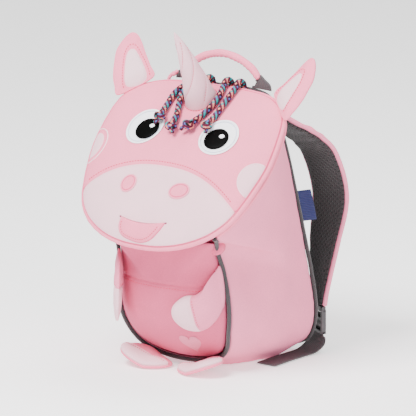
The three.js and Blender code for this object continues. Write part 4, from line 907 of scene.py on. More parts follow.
def grid_piece(name, outer, inner, material, ring=False, lay=None):
    """A closed sheet between two grids of points, walled shut along its open edges."""
    rows, columns = outer.shape[:2]
    count = rows * columns
    points = np.vstack([outer.reshape(-1, 3), inner.reshape(-1, 3)])
    at = np.arange(count).reshape(rows, columns)
    if ring:
        at = np.hstack([at, at[:, :1]])
    faces = []
    for grid, turn in ((at, 1), (at + count, -1)):
        quad = np.stack([grid[:-1, :-1], grid[:-1, 1:], grid[1:, 1:], grid[1:, :-1]], -1).reshape(-1, 4)
        faces += quad[:, ::turn].tolist()
    edges = [(at[0], 1), (at[-1], -1)]
    if not ring:
        edges += [(at[:, 0], -1), (at[:, -1], 1)]
    for line, turn in edges:
        wall = np.stack([line[:-1], line[:-1] + count, line[1:] + count, line[1:]], 1)
        faces += wall[:, ::turn].tolist()
    if lay is not None:
        lay = np.concatenate([lay.reshape(-1, 3)] * 2)
    piece = make_piece(name, points, faces, material, lay=lay)
    face_outward(piece)
    return piece


def grid_normals(grid, ring=False):
    if ring:
        wide = np.roll(grid, -1, 1) - np.roll(grid, 1, 1)
    else:
        wide = np.gradient(grid, axis=1)
    return unit(np.cross(wide, np.gradient(grid, axis=0)))


# The same brushed cloth for the body, darkened as painted shade: the wall a little, as it turns
# from the light, and the belly more, in the chin's shadow.
shaded_side_polyester = cloth("brushed_polyester_side_painted_shade", "#e37e9c", contrast=0.085)
shaded_belly_polyester = cloth("brushed_polyester_belly_painted_shade", "#cd5879", contrast=0.085)
w = np.arange(360) / 360
front, back = front_seam(w), back_seam(w)
across = back - front
run = np.linalg.norm(across, axis=1)
heading = unit(np.roll(front, -1, 0) - np.roll(front, 1, 0))
slant = np.maximum(np.linalg.norm(np.cross(unit(across), heading), axis=1), 0.8)
first, last = (PIPING + GAP + 0.6) / slant / run, (PIPING + GAP + 0.6) / run
q = first + np.linspace(0, 1, 56)[:, None] * (1 - first - last)
wall = side_point(w[None], q)
normal = grid_normals(wall, ring=True)
if np.einsum("ij,ij->", (wall - wall.mean((0, 1))).reshape(-1, 3), normal.reshape(-1, 3)) < 0:
    normal = -normal
side = grid_piece("side_panel_cloth", wall, wall - CLOTH * normal, shaded_side_polyester, ring=True)
fit(side, "side_cloth", "side_panel", fill=0.35)


# The belly: two cloths over a stuffed front. The lower one is a flat pocket, sewn across
# the upper one in a level seam with a row of pink stitches over it.
POCKET_TOP = 80
BELLY_CENTRE = np.array([0, 0.52 * BELLY_TOP])
right = np.stack([LOWER_ROWS[:, 0] * BELLY_HALF, LOWER_ROWS[:, 2] * BELLY_TOP,
                  -LOWER_ROWS[:, 1] * BELLY_FRONT], 1)
half = np.vstack([[[x * BELLY_HALF, BELLY_TOP, -1.5 * BELLY_FRONT] for x in (0, 0.5)], right])
loop = grown(seam_loop(half)(np.arange(48) / 48), PIPING + GAP + 1.5)
loop = (np.roll(loop, 1, 0) + np.roll(loop, -1, 0)) / 4 + loop / 2
belly_edge = spline(loop, closed=True)
fine = belly_edge(np.arange(960) / 960)
belly_reach = reach_of(fine, BELLY_CENTRE)
turn = np.arctan2(fine[:, 1] - BELLY_CENTRE[1], fine[:, 0] - BELLY_CENTRE[0])
order = np.argsort(turn)
edge_turns, edge_depths = turn[order], fine[order, 2]


def on_belly(x, z, lift=0.0, folds=1.0):
    x, z = np.broadcast_arrays(np.asarray(x, float), np.asarray(z, float))
    dx, dz = x - BELLY_CENTRE[0], z - BELLY_CENTRE[1]
    angle = np.arctan2(dz, dx)
    share = np.minimum(np.hypot(dx, dz) / belly_reach(angle), 1)
    edge = np.interp(angle, edge_turns, edge_depths, period=2 * np.pi)
    base = -1.03 * BELLY_FRONT + (edge + 1.03 * BELLY_FRONT) * share ** 2
    swell = BELLY_SWELL * (1 - share ** 2.2) ** 0.7
    if folds:
        hold = 1 - share ** 4
        crease = near((x + 34) * 0.75 + (z - 98) * 0.66, 2.6) * near((x + 34) * 0.66 - (z - 98) * 0.75, 14)
        under_arm = near((z - 36) - 0.25 * (x - 30), 2.8) * near(x - 36, 17)
        low = near((z - 52) + 0.2 * (x + 14), 3.4) * near(x + 20, 24)
        puff = 0.9 * ripples(np.stack([x, 0 * x, z], -1), 26, 51)
        swell = swell + folds * hold * (puff - 1.4 * crease - 1.2 * under_arm - 0.9 * low)
        swell = swell - 1.5 * near(z - POCKET_TOP, 1.5) - 0.3 * near(z - POCKET_TOP + STITCH_ROW, 0.9)
    spot = np.stack([x, base - swell, z], -1)
    spot[..., 1] -= lift
    return spot


def clip_line(outline, level, keep_above):
    """The part of a flat outline above or below a level, closed along that level."""
    keep = (outline[:, 1] > level) == keep_above
    start = int(np.argmax(keep & ~np.roll(keep, 1)))
    part = np.roll(outline, -start, 0)[:int(keep.sum()), :2]
    line = np.linspace([part[-1, 0], level], [part[0, 0], level], 90)
    return np.vstack([part, line])


for name, above, middle, node in (("belly_upper_cloth", True, 0.8, "belly_panel"),
                                  ("belly_pocket_cloth", False, 0.32, "belly_pocket")):
    outline = clip_line(belly_edge(np.arange(240) / 240), POCKET_TOP, above)
    piece = pad_disc(name, outline, np.array([0, middle * BELLY_TOP]), lambda x, z, o: on_belly(x, z),
                     lambda x, z, o: on_belly(x, z, -CLOTH), 34, shaded_belly_polyester)
    fit(piece, "belly_cloth", node, fill=0.6)
x = np.linspace(-1, 1, 200) * (belly_reach(0.2) - 3)
stitches("pocket_seam_stitches", on_belly(x, POCKET_TOP - STITCH_ROW, 0.12), [0, -1, 0], pink_thread,
         "belly_cloth", 1.8, 2.7, 0.38)


# A plain heart of pale felt, sewn flat onto the pocket. Felt has no weave: its matted wool
# gives a coarse soft grain and no shine.
t = np.linspace(0, 2 * np.pi, 120, endpoint=False)
heart = np.stack([10.2 * np.sin(t) ** 3, 8.6 * np.cos(t) - 3.3 * np.cos(2 * t) - 1.3 * np.cos(3 * t)
                  - 0.6 * np.cos(4 * t)], 1) * 0.93 + [0.36 * BELLY_HALF, 0.2 * BELLY_TOP + 1.5]
felt = cloth("felt_pale_pink", "#d4768f", contrast=0.06, grain=1.6)
piece = pad_disc("belly_heart_felt", heart, heart.mean(0), lambda x, z, o: on_belly(x, z, 0.9 - 0.4 * o ** 8),
                 lambda x, z, o: on_belly(x, z, -0.3), 10, felt)
fit(piece, "pale_cloth", "belly_patch")


# A gusset of the belly's cloth closes each corner between the belly, the wall and the chin.
# It is cut round, folded into the corner and sewn into the seams on its three sides.
for side, s in (("left", -1), ("right", 1)):
    middle = np.array([s * 48.5, 119.5])
    oval = ellipse(*middle, 10.5, 9, 90, -0.5 * s)
    piece = pad_disc(f"corner_gusset_{side}", oval, middle,
                     lambda x, z, o: np.stack([x, -70.5 - 3.5 * np.sqrt(1 - 0.98 * o ** 2) + 0 * z, z], -1),
                     lambda x, z, o: np.stack([x, -66.5 + 0 * z, z], -1), 14, shaded_belly_polyester)
    fit(piece, "belly_cloth")


# Grey piping: a woven tape wrapped round a cord and caught in the seams of the belly and
# of the back panel.
def piping_material(name, code):
    # Woven polyester tape: slanting ribs about 3 mm apart across the cord, matt, with lint.
    material, tree, shader = new_material(name)
    lay = add(tree, "Attribute", attribute_name="lay").outputs["Vector"]
    ribs = add(tree, "TexWave", {"Vector": lay, "Scale": 0.32, "Distortion": 0.6, "Detail": 1.0},
               bands_direction="DIAGONAL").outputs["Fac"]
    place = add(tree, "TexCoord").outputs["Object"]
    lint = add(tree, "TexNoise", {"Vector": place, "Scale": 900, "Detail": 3}).outputs["Fac"]
    both = add(tree, "Math", {0: ribs, 1: lint}, operation="ADD").outputs[0]
    level = add(tree, "MapRange", {"Value": both, "From Min": 0.4, "From Max": 1.5, "To Min": 0.72,
                                   "To Max": 1.18}).outputs["Result"]
    finish(tree, shader, linear(code), level, 0.8, both, 0.5, 0.0003)
    shader.inputs["Sheen Weight"].default_value = 0.2
    return material


grey_tape = piping_material("woven_piping_tape_grey", "#312d2f")


def piping(name, path, material, closed=False):
    """A piped cord with its place along and round it laid down for the tape's ribs."""
    sides, radius = 14, PIPING * (1 + 0.03 * ripples(path, 20, 7))
    around = np.arange(sides) / sides * 2 * np.pi * PIPING
    lay = np.stack(np.broadcast_arrays(run_along(path)[:, None], around[None], 0.0), -1).reshape(-1, 3)
    if closed:
        piece = hoop(name, path, radius, material, sides)
    else:
        piece = make_piece(name, *round_cord(path, radius, sides), material)
        lay = np.vstack([lay, lay[0], lay[-1]])
    flat = piece.data.attributes.new("lay", "FLOAT_VECTOR", "POINT")
    flat.data.foreach_set("vector", lay.astype(np.float32).ravel())
    return piece


corner = CORNER - 0.9 / STATIONS
fit(piping("front_piping_tape", front_seam(np.linspace(corner, 1 - corner, 420)), grey_tape),
    "grey_piping", "front_piping")
fit(piping("back_piping_tape", back_seam(np.arange(520) / 520), grey_tape, closed=True),
    "grey_piping", "back_piping")


# The opening behind the face: its soft pink rim, and the zip that runs between the rim
# and the face, a woven tape with moulded coils.
RIM_SPAN = (len(UPPER_ROWS) - 1.2) / STATIONS
rim_way = front_seam(np.linspace(-RIM_SPAN, RIM_SPAN, 400))
points, faces = round_cord(rim_way, 1.65 * (1 + 0.05 * ripples(rim_way, 12, 61)), 12)
fit(make_piece("opening_rim_cloth", points, faces, pink_polyester), "pink_cloth", "opening_rim")

# Polyester zip tape in a dusty pink: a twill across its width, drawn coarse so that it shows.
zip_cloth, tree, shader = new_material("zip_tape_pink")
lay = add(tree, "Attribute", attribute_name="lay").outputs["Vector"]
twill = add(tree, "TexWave", {"Vector": lay, "Scale": 0.5, "Distortion": 0.3},
            bands_direction="X").outputs["Fac"]
level = add(tree, "MapRange", {"Value": twill, "To Min": 0.62, "To Max": 1.05}).outputs["Result"]
finish(tree, shader, linear("#c85f7e"), level, 0.65, twill, 0.7, 0.0005)
share = np.linspace(0, 1, 420)
seam = front_seam(-RIM_SPAN + 2 * RIM_SPAN * share)
flat_u, flat_v = seam[:, 0], (seam - FACE_TOP) @ FACE_DOWN
away = np.hypot(flat_u, flat_v - FACE_CENTRE[1])
rows = np.linspace(0, 1, 9)


def tape_grid(out):
    part = 1 - (3.7 - out) / away
    pv = FACE_CENTRE[1] + (flat_v - FACE_CENTRE[1]) * part
    height = -9.6 + rows[:, None] * (9.6 - FACE_PAD - 0.7)
    coil = 0.35 * np.sin(np.pi * rows[:, None]) + 0.16 * near(rows[:, None] - 0.5, 0.2) * np.sin(share * 1500)
    grow = 1 + (coil if out > 0 else 0) / away
    return on_plane(flat_u * part * grow, FACE_CENTRE[1] + (pv - FACE_CENTRE[1]) * grow,
                    crown_bend(np.maximum(flat_v, 0)) + height)


place = np.stack(np.broadcast_arrays(share[None] * 480, rows[:, None] * 5, 0.0), -1)
piece = grid_piece("zip_tape_woven", tape_grid(0.75), tape_grid(-0.75), zip_cloth, lay=place)
fit(piece, "grey_webbing", "zip_tape")

# The cloth that closes the chin from below.
CHIN_V = 0.865 * FACE_LENGTH
chin = grown(rim_line, -0.4)
chin = chin[chin[:, 1] > CHIN_V]
chin = chin[np.argsort(np.arctan2(chin[:, 1] - 0.8 * FACE_LENGTH, chin[:, 0]))]
line = np.linspace([chin[-1, 0], CHIN_V], [chin[0, 0], CHIN_V], 60)[1:-1]
piece = pad_disc("chin_cloth", np.vstack([chin, line]), np.array([0, 0.92 * FACE_LENGTH]),
                 lambda u, v, o: on_plane(u, v, -5.3),
                 lambda u, v, o: on_plane(u, v, -7.5 - 0.5 * (1 - o ** 2)), 14, pale_polyester)
fit(piece, "pale_cloth", "chin_panel")


# The zip's slider, of enamelled metal in two plates joined by a neck, and its pull: a
# twisted pink cord tied through it in a knot.
stop = front_seam(1 - 1.75 / STATIONS)[0]
seat = stop + [0, 2.6, 3.8]


def rounded_block(name, size, centre, material, turn=0.0, bevel=0.4, cuts=3):
    """A block with rounded edges."""
    mesh = bpy.data.meshes.new(name)
    corners = [(x, y, z) for x in (-1, 1) for y in (-1, 1) for z in (-1, 1)]
    quads = [(0, 1, 3, 2), (4, 6, 7, 5), (0, 4, 5, 1), (2, 3, 7, 6), (0, 2, 6, 4), (1, 5, 7, 3)]
    c, s = math.cos(turn), math.sin(turn)
    points = []
    for x, y, z in corners:
        x, y, z = x * size[0] / 2, y * size[1] / 2, z * size[2] / 2
        points.append(((centre[0] + x * c - y * s) * 0.001, (centre[1] + x * s + y * c) * 0.001,
                       (centre[2] + z) * 0.001))
    mesh.from_pydata(points, [], quads)
    mesh.materials.append(material)
    piece = bpy.data.objects.new(name, mesh)
    bpy.context.scene.collection.objects.link(piece)
    soften = piece.modifiers.new("rounded", "BEVEL")
    soften.width, soften.segments = bevel * 0.001, cuts
    mesh.polygons.foreach_set("use_smooth", [True] * len(mesh.polygons))
    return piece


# Acetal, moulded in grey: a faint grain from the mould and softly worn edges.
grey_acetal, tree, shader = new_material("moulded_acetal_grey")
place = add(tree, "TexCoord").outputs["Object"]
grain = add(tree, "TexNoise", {"Vector": place, "Scale": 1800, "Detail": 2}).outputs["Fac"]
scuff = add(tree, "TexNoise", {"Vector": place, "Scale": 180, "Detail": 4}).outputs["Fac"]
level = add(tree, "MapRange", {"Value": scuff, "From Min": 0.3, "From Max": 0.7, "To Min": 0.85,
                               "To Max": 1.15}).outputs["Result"]
gloss = add(tree, "MapRange", {"Value": scuff, "To Min": 0.34, "To Max": 0.56}).outputs["Result"]
finish(tree, shader, linear("#3f3b3e"), level, 0.45, grain, 0.2, 0.0002)
tree.links.new(gloss, shader.inputs["Roughness"])
shader.inputs["IOR"].default_value = 1.48

for part, size, up, nodes in (("low_plate", (6, 3.4, 1.1), -1.2, ["zip_slider"]),
                              ("high_plate", (5.4, 3.2, 1.1), 1.2, []), ("neck", (1.6, 2.6, 1.8), 0.0, [])):
    piece = rounded_block(f"zip_slider_{part}", size, seat + [0, 0, up], grey_acetal, bevel=0.35)
    fit(piece, "grey_plastic", *nodes)
# Twisted polyester cord: as matt as the cloth, in a deeper pink.
twisted_cord = cloth("twisted_polyester_cord_pink", "#f0809f")
pull_way = spline(stop + [0, 2.6, 7.8] + np.array([[-0.3, 0, -1.6], [0, 0, 0], [1.6, 1, 2.6], [4.4, 1.6, 4.2],
                                                    [7.6, 1.4, 6.8]]))
way = evenly(pull_way, 90)
turn, along = np.meshgrid(np.arange(24) / 24, np.linspace(0, 1, 90))
knot = 1 + 0.42 * near(along - 0.62, 0.12)
lobes = 1.35 * knot * (1 + 0.16 * np.abs(np.sin(np.pi * (turn * 3 + along * 5))))
points, faces = round_cord(way, lobes, 24)
fit(make_piece("zip_pull_cord", points, faces, twisted_cord), "tongue_cloth", "zip_pull")


# The arms: stuffed flat limbs of pink cloth with pale hands, sewn on at the shoulder. The
# right one is tacked over the belly and the left one hangs free in front of the wall.
ARM_THICK, ARM_LONG, ARM_WIDE = 7.6, 60, 28
ARM_RIGHT = [[0.91, 0.79], [0.79, 0.67], [0.62, 0.59], [0.42, 0.565], [0.25, 0.49], [0.24, 0.4], [0.4, 0.33],
             [0.64, 0.325], [0.84, 0.4], [0.945, 0.52], [0.955, 0.68]]
arm = spline(np.array(ARM_RIGHT) * [BELLY_HALF, BELLY_TOP], closed=True)(np.arange(200) / 200)
arm_middle = np.array([0.62 * BELLY_HALF, 0.49 * BELLY_TOP])
arm_reach = reach_of(arm, arm_middle)


def hand_seam(z):
    return BELLY_HALF * (0.56 + 0.3 * (0.57 - z / BELLY_TOP))


def arm_top(x, z, sunk=0.0):
    dx, dz = x - arm_middle[0], z - arm_middle[1]
    share = np.minimum(1, np.hypot(dx, dz) / arm_reach(np.arctan2(dz, dx)))
    thick = 1.2 + (ARM_THICK - 1.2) * (1 - share ** 4) ** 0.6
    thick = thick - 1.2 * near(x - hand_seam(z), 1.5) * (1 - share ** 6)
    spot = on_belly(x, z, 1.0 + thick - sunk, folds=0)
    spot[..., 1] += 0.7 * ripples(spot, 15, 71) * (1 - share ** 4)
    return spot


def split(outline, side, line):
    """The part of an outline where side is positive, closed along a line."""
    keep = side(outline) > 0
    start = int(np.argmax(keep & ~np.roll(keep, 1)))
    part = np.roll(outline, -start, 0)[:int(keep.sum())]
    return np.vstack([part, line(part[-1], part[0])])


def level_seam(level, count):
    """A straight seam at one level, between the two points that it is given."""
    return lambda a, b: np.linspace([a[0], level], [b[0], level], count)[1:-1]


def seam_between(a, b):
    z = np.linspace(a[1], b[1], 40)[1:-1]
    return np.stack([hand_seam(z), z], 1)


for name, sign, middle, material, slot, node in (
        ("hand_right_cloth", -1, (0.42, 0.45), pale_polyester, "pale_cloth", "hand_right"),
        ("arm_right_cloth", 1, (0.8, 0.53), shaded_side_polyester, "pink_cloth", "arm_right")):
    part = split(arm[:, :2], lambda p: sign * (p[:, 0] - hand_seam(p[:, 1])), seam_between)
    piece = pad_disc(name, part, np.array(middle) * [BELLY_HALF, BELLY_TOP], lambda x, z, o: arm_top(x, z),
                     lambda x, z, o: on_belly(x, z, 0.9, folds=0), 20, material)
    fit(piece, slot, node, fill=0.8)
z = np.linspace(0.36, 0.555, 60) * BELLY_TOP
x = hand_seam(z) + 2.3
stitches("hand_right_stitches", arm_top(x, z, -0.1), [0, -1, 0], pink_thread, "pink_cloth", 1.5, 2.3, 0.34)

ARM_LEFT = [[0, 0.04], [0.4, 0.05], [0.78, 0.2], [0.98, 0.5], [0.95, 0.82], [0.68, 1], [0.3, 0.97],
            [0.06, 0.78], [0, 0.42]]
root = np.array([-0.89 * BELLY_HALF, -1.165 * BELLY_FRONT, 0.81 * BELLY_TOP])
wide, low = unit(np.array([0.56, -0.83, 0])), unit(np.array([0, -0.05, -1]))
out_way = unit(np.cross(wide, low))
left = spline(np.array(ARM_LEFT) * [ARM_WIDE, ARM_LONG], closed=True)(np.arange(200) / 200)
left_middle = np.array([0.5 * ARM_WIDE, 0.52 * ARM_LONG])
left_reach = reach_of(left, left_middle)


def left_point(a, b, sign):
    da, db = a - left_middle[0], b - left_middle[1]
    share = np.minimum(1, np.hypot(da, db) / left_reach(np.arctan2(db, da)))
    lift = 0.8 + (ARM_THICK / 2 - 0.8) * (1 - share ** 3) ** 0.8
    lift = lift - 1.3 * near(b - ARM_LONG / 2, 1.5) * (1 - share ** 6)
    spot = (root + np.multiply.outer(a, wide) + np.multiply.outer(b, low)
            + np.multiply.outer(sign * lift, out_way))
    return spot + 0.5 * (ripples(spot, 15, 73) * (1 - share ** 4))[..., None] * out_way


for name, sign, middle, material, slot, node in (
        ("arm_left_cloth", -1, (0.45, 0.3), shaded_side_polyester, "pink_cloth", "arm_left"),
        ("hand_left_cloth", 1, (0.52, 0.72), pale_polyester, "pale_cloth", "hand_left")):
    part = split(left, lambda p: sign * (p[:, 1] - ARM_LONG / 2), level_seam(ARM_LONG / 2, 40))
    piece = pad_disc(name, part, np.array(middle) * [ARM_WIDE, ARM_LONG],
                     lambda a, b, o: left_point(a, b, 1.0), lambda a, b, o: left_point(a, b, -1.0), 20,
                     material)
    fit(piece, slot, node, fill=0.8)
a = np.linspace(0.1, 0.9, 50) * ARM_WIDE
for sign, face in ((1.0, "front"), (-1.0, "back")):
    spot = left_point(a, np.full(50, ARM_LONG / 2 - 2.4), sign) + sign * 0.1 * out_way
    stitches(f"hand_left_stitches_{face}", spot, sign * out_way, pink_thread, "pink_cloth", 1.5, 2.3, 0.34)


# The feet: flat stuffed tongues of pink cloth under the belly's piping, each with a pale
# toe cap sewn over its front.
FOOT_HALF, FOOT_DEEP, FOOT_X, FOOT_Y, FOOT_TALL, FOOT_TURN = 23.5, 15.7, 28, 59.6, 9.5, 0.2
for side, s in (("left", -1), ("right", 1)):
    slant = -FOOT_TURN * s
    centre = np.array([s * FOOT_X, -FOOT_Y])
    cap_back = centre[1] + 0.02 * FOOT_DEEP

    def foot_low(x, y):
        """The height of the underside, which lifts off the floor outside and behind."""
        return (0.4 * np.maximum(0, s * x - 0.8 * FOOT_X)
                + 0.35 * np.maximum(0, y - centre[1]) * smooth(s * x / FOOT_X - 0.3))

    def foot_dome(x, y):
        dx, dy = x - centre[0], y - centre[1]
        p, q = dx * math.cos(slant) + dy * math.sin(slant), dy * math.cos(slant) - dx * math.sin(slant)
        return np.sqrt(np.maximum(0, 1 - np.hypot(p / FOOT_HALF, q / FOOT_DEEP) ** 2.6))

    def foot_top(x, y, rise):
        z = foot_low(x, y) + 2.4 + (0.55 * FOOT_TALL - 2.4) * foot_dome(x, y) + rise
        return np.stack([x, y, z], -1)

    def cap_top(x, y, out):
        z = foot_low(x, y) + 3.2 + (FOOT_TALL - 3.4) * foot_dome(x, y) ** 0.8
        spot = np.stack([x, y, z], -1)
        spot[..., 2] += 0.3 * ripples(spot, 15, 81 + (s > 0)) * (1 - out ** 4)
        return spot

    outline = ellipse(*centre, FOOT_HALF, FOOT_DEEP, 200, slant)
    piece = pad_disc(f"foot_{side}_cloth", outline, centre,
                     lambda x, y, o: foot_top(x, y, 2.4 * (1 - o ** 3)),
                     lambda x, y, o: np.stack([x, y, foot_low(x, y) + 0.1 + 1.1 * o ** 12], -1), 26,
                     pink_polyester)
    fit(piece, "pink_cloth", f"foot_{side}", fill=0.8)
    oval = ellipse(*centre, FOOT_HALF - 0.4, FOOT_DEEP - 0.4, 200, slant)
    part = split(oval, lambda p: cap_back - p[:, 1], level_seam(cap_back, 50))
    piece = pad_disc(f"toe_cap_{side}_cloth", part, centre - [0, 0.25 * FOOT_DEEP], cap_top,
                     lambda x, y, o: foot_top(x, y, -0.4), 22, pale_polyester)
    fit(piece, "pale_cloth", f"toe_cap_{side}", fill=0.8)
    x = np.linspace(part[:, 0].min() + 2.5, part[:, 0].max() - 2.5, 60)
    spot = cap_top(x, np.full(60, cap_back - 2.4), np.full(60, 0.9)) + [0, 0, 0.1]
    stitches(f"toe_cap_{side}_stitches", spot, [0, 0, 1], pink_thread, "pale_cloth", 1.5, 2.3, 0.34)


# The back panel, which lies on the wearer's back: black spacer mesh over foam, quilted
# in three upright channels. The photograph doesn't show it, so the quilting is guessed.
def spacer_mesh(name, code, hole=3.0):
    # Knitted spacer mesh: staggered round holes, near black for the dark core and the painted
    # shade inside them, with a matt knit between them. hole is their pitch in millimetres.
    material, tree, shader = new_material(name)
    lay = add(tree, "Attribute", attribute_name="lay").outputs["Vector"]
    turned = add(tree, "Mapping", {"Vector": lay, "Rotation": (0, 0, math.radians(45)),
                                   "Scale": (1 / hole, 1 / hole, 1)}).outputs["Vector"]
    cells = add(tree, "TexVoronoi", {"Vector": turned, "Scale": 1.0, "Randomness": 0.0},
                voronoi_dimensions="2D").outputs["Distance"]
    open_part = add(tree, "MapRange", {"Value": cells, "From Min": 0.2, "From Max": 0.31, "To Min": 0.0,
                                       "To Max": 1.0}, interpolation_type="SMOOTHSTEP").outputs["Result"]
    place = add(tree, "TexCoord").outputs["Object"]
    yarn = add(tree, "TexNoise", {"Vector": place, "Scale": 1500, "Detail": 3}).outputs["Fac"]
    knit = add(tree, "MapRange", {"Value": yarn, "From Min": 0.3, "From Max": 0.7, "To Min": 0.7,
                                  "To Max": 1.25}).outputs["Result"]
    lit = add(tree, "MixRGB", {"Fac": 1.0, "Color1": linear(code), "Color2": knit}, blend_type="MULTIPLY")
    # The holes: a near black for the dark core, with painted shade over it.
    both = add(tree, "MixRGB", {"Fac": open_part, "Color1": linear("#040303"),
                                "Color2": lit.outputs["Color"]})
    relief = add(tree, "Math", {0: open_part, 1: yarn}, operation="ADD").outputs[0]
    bump = add(tree, "Bump", {"Height": relief, "Strength": 0.8, "Distance": 0.0008})
    tree.links.new(both.outputs["Color"], shader.inputs["Base Color"])
    tree.links.new(bump.outputs["Normal"], shader.inputs["Normal"])
    shader.inputs["Roughness"].default_value = 0.9
    shader.inputs["Sheen Weight"].default_value = 0.15
    return material


black_mesh = spacer_mesh("spacer_mesh_black", "#2b2426", 3.3)
loop = back_seam(np.arange(320) / 320)
outline = grown(np.stack([loop[:, 0], loop[:, 2]], 1), CLOTH + 0.9)


def back_point(x, z, out, inner):
    if inner:
        lift = -1.6 - 2.9 * (1 - out ** 2)
    else:
        channels = near(np.abs(x) - 24, 2.6) + near(z - 150, 2.6) * (np.abs(x) < 24)
        lift = 5.4 * (1 - out ** 2) - 1.7 * channels * (1 - out ** 8) + 0.2
    spot = np.stack([x, back_y(z) + lift, z], -1)
    spot[..., 1] += 0 if inner else 0.5 * ripples(spot, 24, 91) * (1 - out ** 4)
    return spot


piece = pad_disc("back_panel_mesh", outline, np.array([0, 0.47 * BAG_HEIGHT]),
                 lambda x, z, o: back_point(x, z, o, False), lambda x, z, o: back_point(x, z, o, True), 48,
                 black_mesh)
fit(piece, "spacer_mesh", "back_panel", fill=0.5)


# The carry handle: a roll of pink cloth over foam, gathered a little on its underside,
# and held at each end by grey webbing that is folded into the top seam.
GRIP, GRIP_RISE, GRIP_HALF, WEBBING, WEBBING_THICK = 4, 30, 36, 20, 1.6
seam_z = BAG_HEIGHT + PIPING + GAP
rise = [[-1, 0.42], [-0.8, 0.68], [-0.45, 0.9], [0, 1], [0.45, 0.9], [0.8, 0.68], [1, 0.42]]
arch = spline([[x * GRIP_HALF, back_y(BAG_HEIGHT), seam_z + z * GRIP_RISE - GRIP] for x, z in rise])
way = evenly(arch, 240)
turn, along = np.meshgrid(np.arange(32) / 32, np.linspace(0, 1, 240))
across, other = carried_frames(way)
angle = 2 * np.pi * turn
below = across[:, None] * np.cos(angle)[..., None] + other[:, None] * np.sin(angle)[..., None]
below = smooth(-below[..., 2] * 1.2)
gather = 0.22 * np.sin(2 * np.pi * along * 19 + 2 * np.sin(along * 17)) * below
size = 3.3 + gather + 0.12 * np.sin(along * 31)
size = size * (1 - 0.18 * near(along, 0.02) - 0.18 * near(along - 1, 0.02))
points, faces = round_cord(way, size, 32)
fit(make_piece("handle_grip_cloth", points, faces, pink_polyester), "pink_cloth", "handle_grip", fill=0.9)


def webbing_material(name, code, rib_pitch=1.7, pick_pitch=1.1):
    # Woven polypropylene webbing: ribs along it, a herringbone of picks across them, with
    # both pitches in millimetres.
    material, tree, shader = new_material(name)
    lay = add(tree, "Attribute", attribute_name="lay").outputs["Vector"]
    part = add(tree, "SeparateXYZ", {"Vector": lay})
    ribs = add(tree, "Math", {0: part.outputs["Y"], 1: 2 * math.pi / rib_pitch}, operation="MULTIPLY")
    rib = add(tree, "Math", {0: ribs.outputs[0]}, operation="COSINE").outputs[0]
    rows = add(tree, "Math", {0: part.outputs["X"], 1: 2 * math.pi / pick_pitch}, operation="MULTIPLY")
    fold = add(tree, "Math", {0: rib, 1: 1.6, 2: rows.outputs[0]}, operation="MULTIPLY_ADD").outputs[0]
    pick = add(tree, "Math", {0: fold}, operation="SINE").outputs[0]
    weave = add(tree, "Math", {0: pick, 1: 0.5, 2: rib}, operation="MULTIPLY_ADD").outputs[0]
    level = add(tree, "MapRange", {"Value": weave, "From Min": -1.4, "From Max": 1.4, "To Min": 0.7,
                                   "To Max": 1.2}).outputs["Result"]
    finish(tree, shader, linear(code), level, 0.6, weave, 0.55, 0.0004)
    return material


grey_webbing = webbing_material("woven_webbing_grey", "#4a4547")


def band(name, way, wides, halves, low, high, material, columns=14, edge=0.0):
    """A flat band along a way: wides give its width's direction, and it is thick from low
    to high on the side that its normal faces, with the given rounding at its edges."""
    along = unit(np.gradient(way, axis=0))
    wides = unit(wides - along * np.sum(wides * along, axis=1, keepdims=True))
    normal = unit(np.cross(along, wides))
    s = np.sin(np.linspace(-1, 1, columns + 1) * np.pi / 2)
    middle, deep = (low + high) / 2, (high - low) / 2
    round_off = deep * (1 - edge + edge * np.sqrt(np.maximum(0, 1 - s ** 8)))
    across = halves[:, None] * s[None]
    grids = [way[:, None] + across[..., None] * wides[:, None]
             + (middle + sign * round_off)[None, :, None] * normal[:, None] for sign in (1, -1)]
    lay = np.stack(np.broadcast_arrays(run_along(way)[:, None], across, 0.0), -1)
    return grid_piece(name, grids[0], grids[1], material, lay=lay)


for side, s in (("left", -1), ("right", 1)):
    tip, before = (1.0, 0.99) if s > 0 else (0.0, 0.01)
    end = arch(tip)[0]
    away = unit(end - arch(before)[0])
    foot = np.array([s * (GRIP_HALF + 3.5), back_y(BAG_HEIGHT), seam_z - 0.8])
    way = evenly(spline([foot, foot + [0, 0, 2.6], end + away * 2.6, end - away * 0.6]), 40)
    t = np.linspace(0, 1, 40)
    wides = np.stack([np.ones(40), 0 * t, -0.14 * s * (1 - t)], 1)
    halves = WEBBING / 2 - (WEBBING / 2 - GRIP) * smooth(t * 1.1)
    piece = band(f"handle_webbing_{side}_woven", way, wides, halves, -0.8, 0.8, grey_webbing, edge=0.6)
    fit(piece, "grey_webbing", f"handle_webbing_{side}")


# The shoulder straps: spacer mesh on the wearer's side and pink cloth outside, bound
# along both edges, arching from the back panel down to a ladder-lock. Grey webbing runs
# on from the lock to the lower corner of the bag.
STRAP_HALF, STRAP_PAD, STRAP_COVER, STRAP_REACH, LOCK_TALL, LOCK_THICK = 17, 5, 2.4, 57, 22, 4.6
LOCK_TURN = math.radians(35)
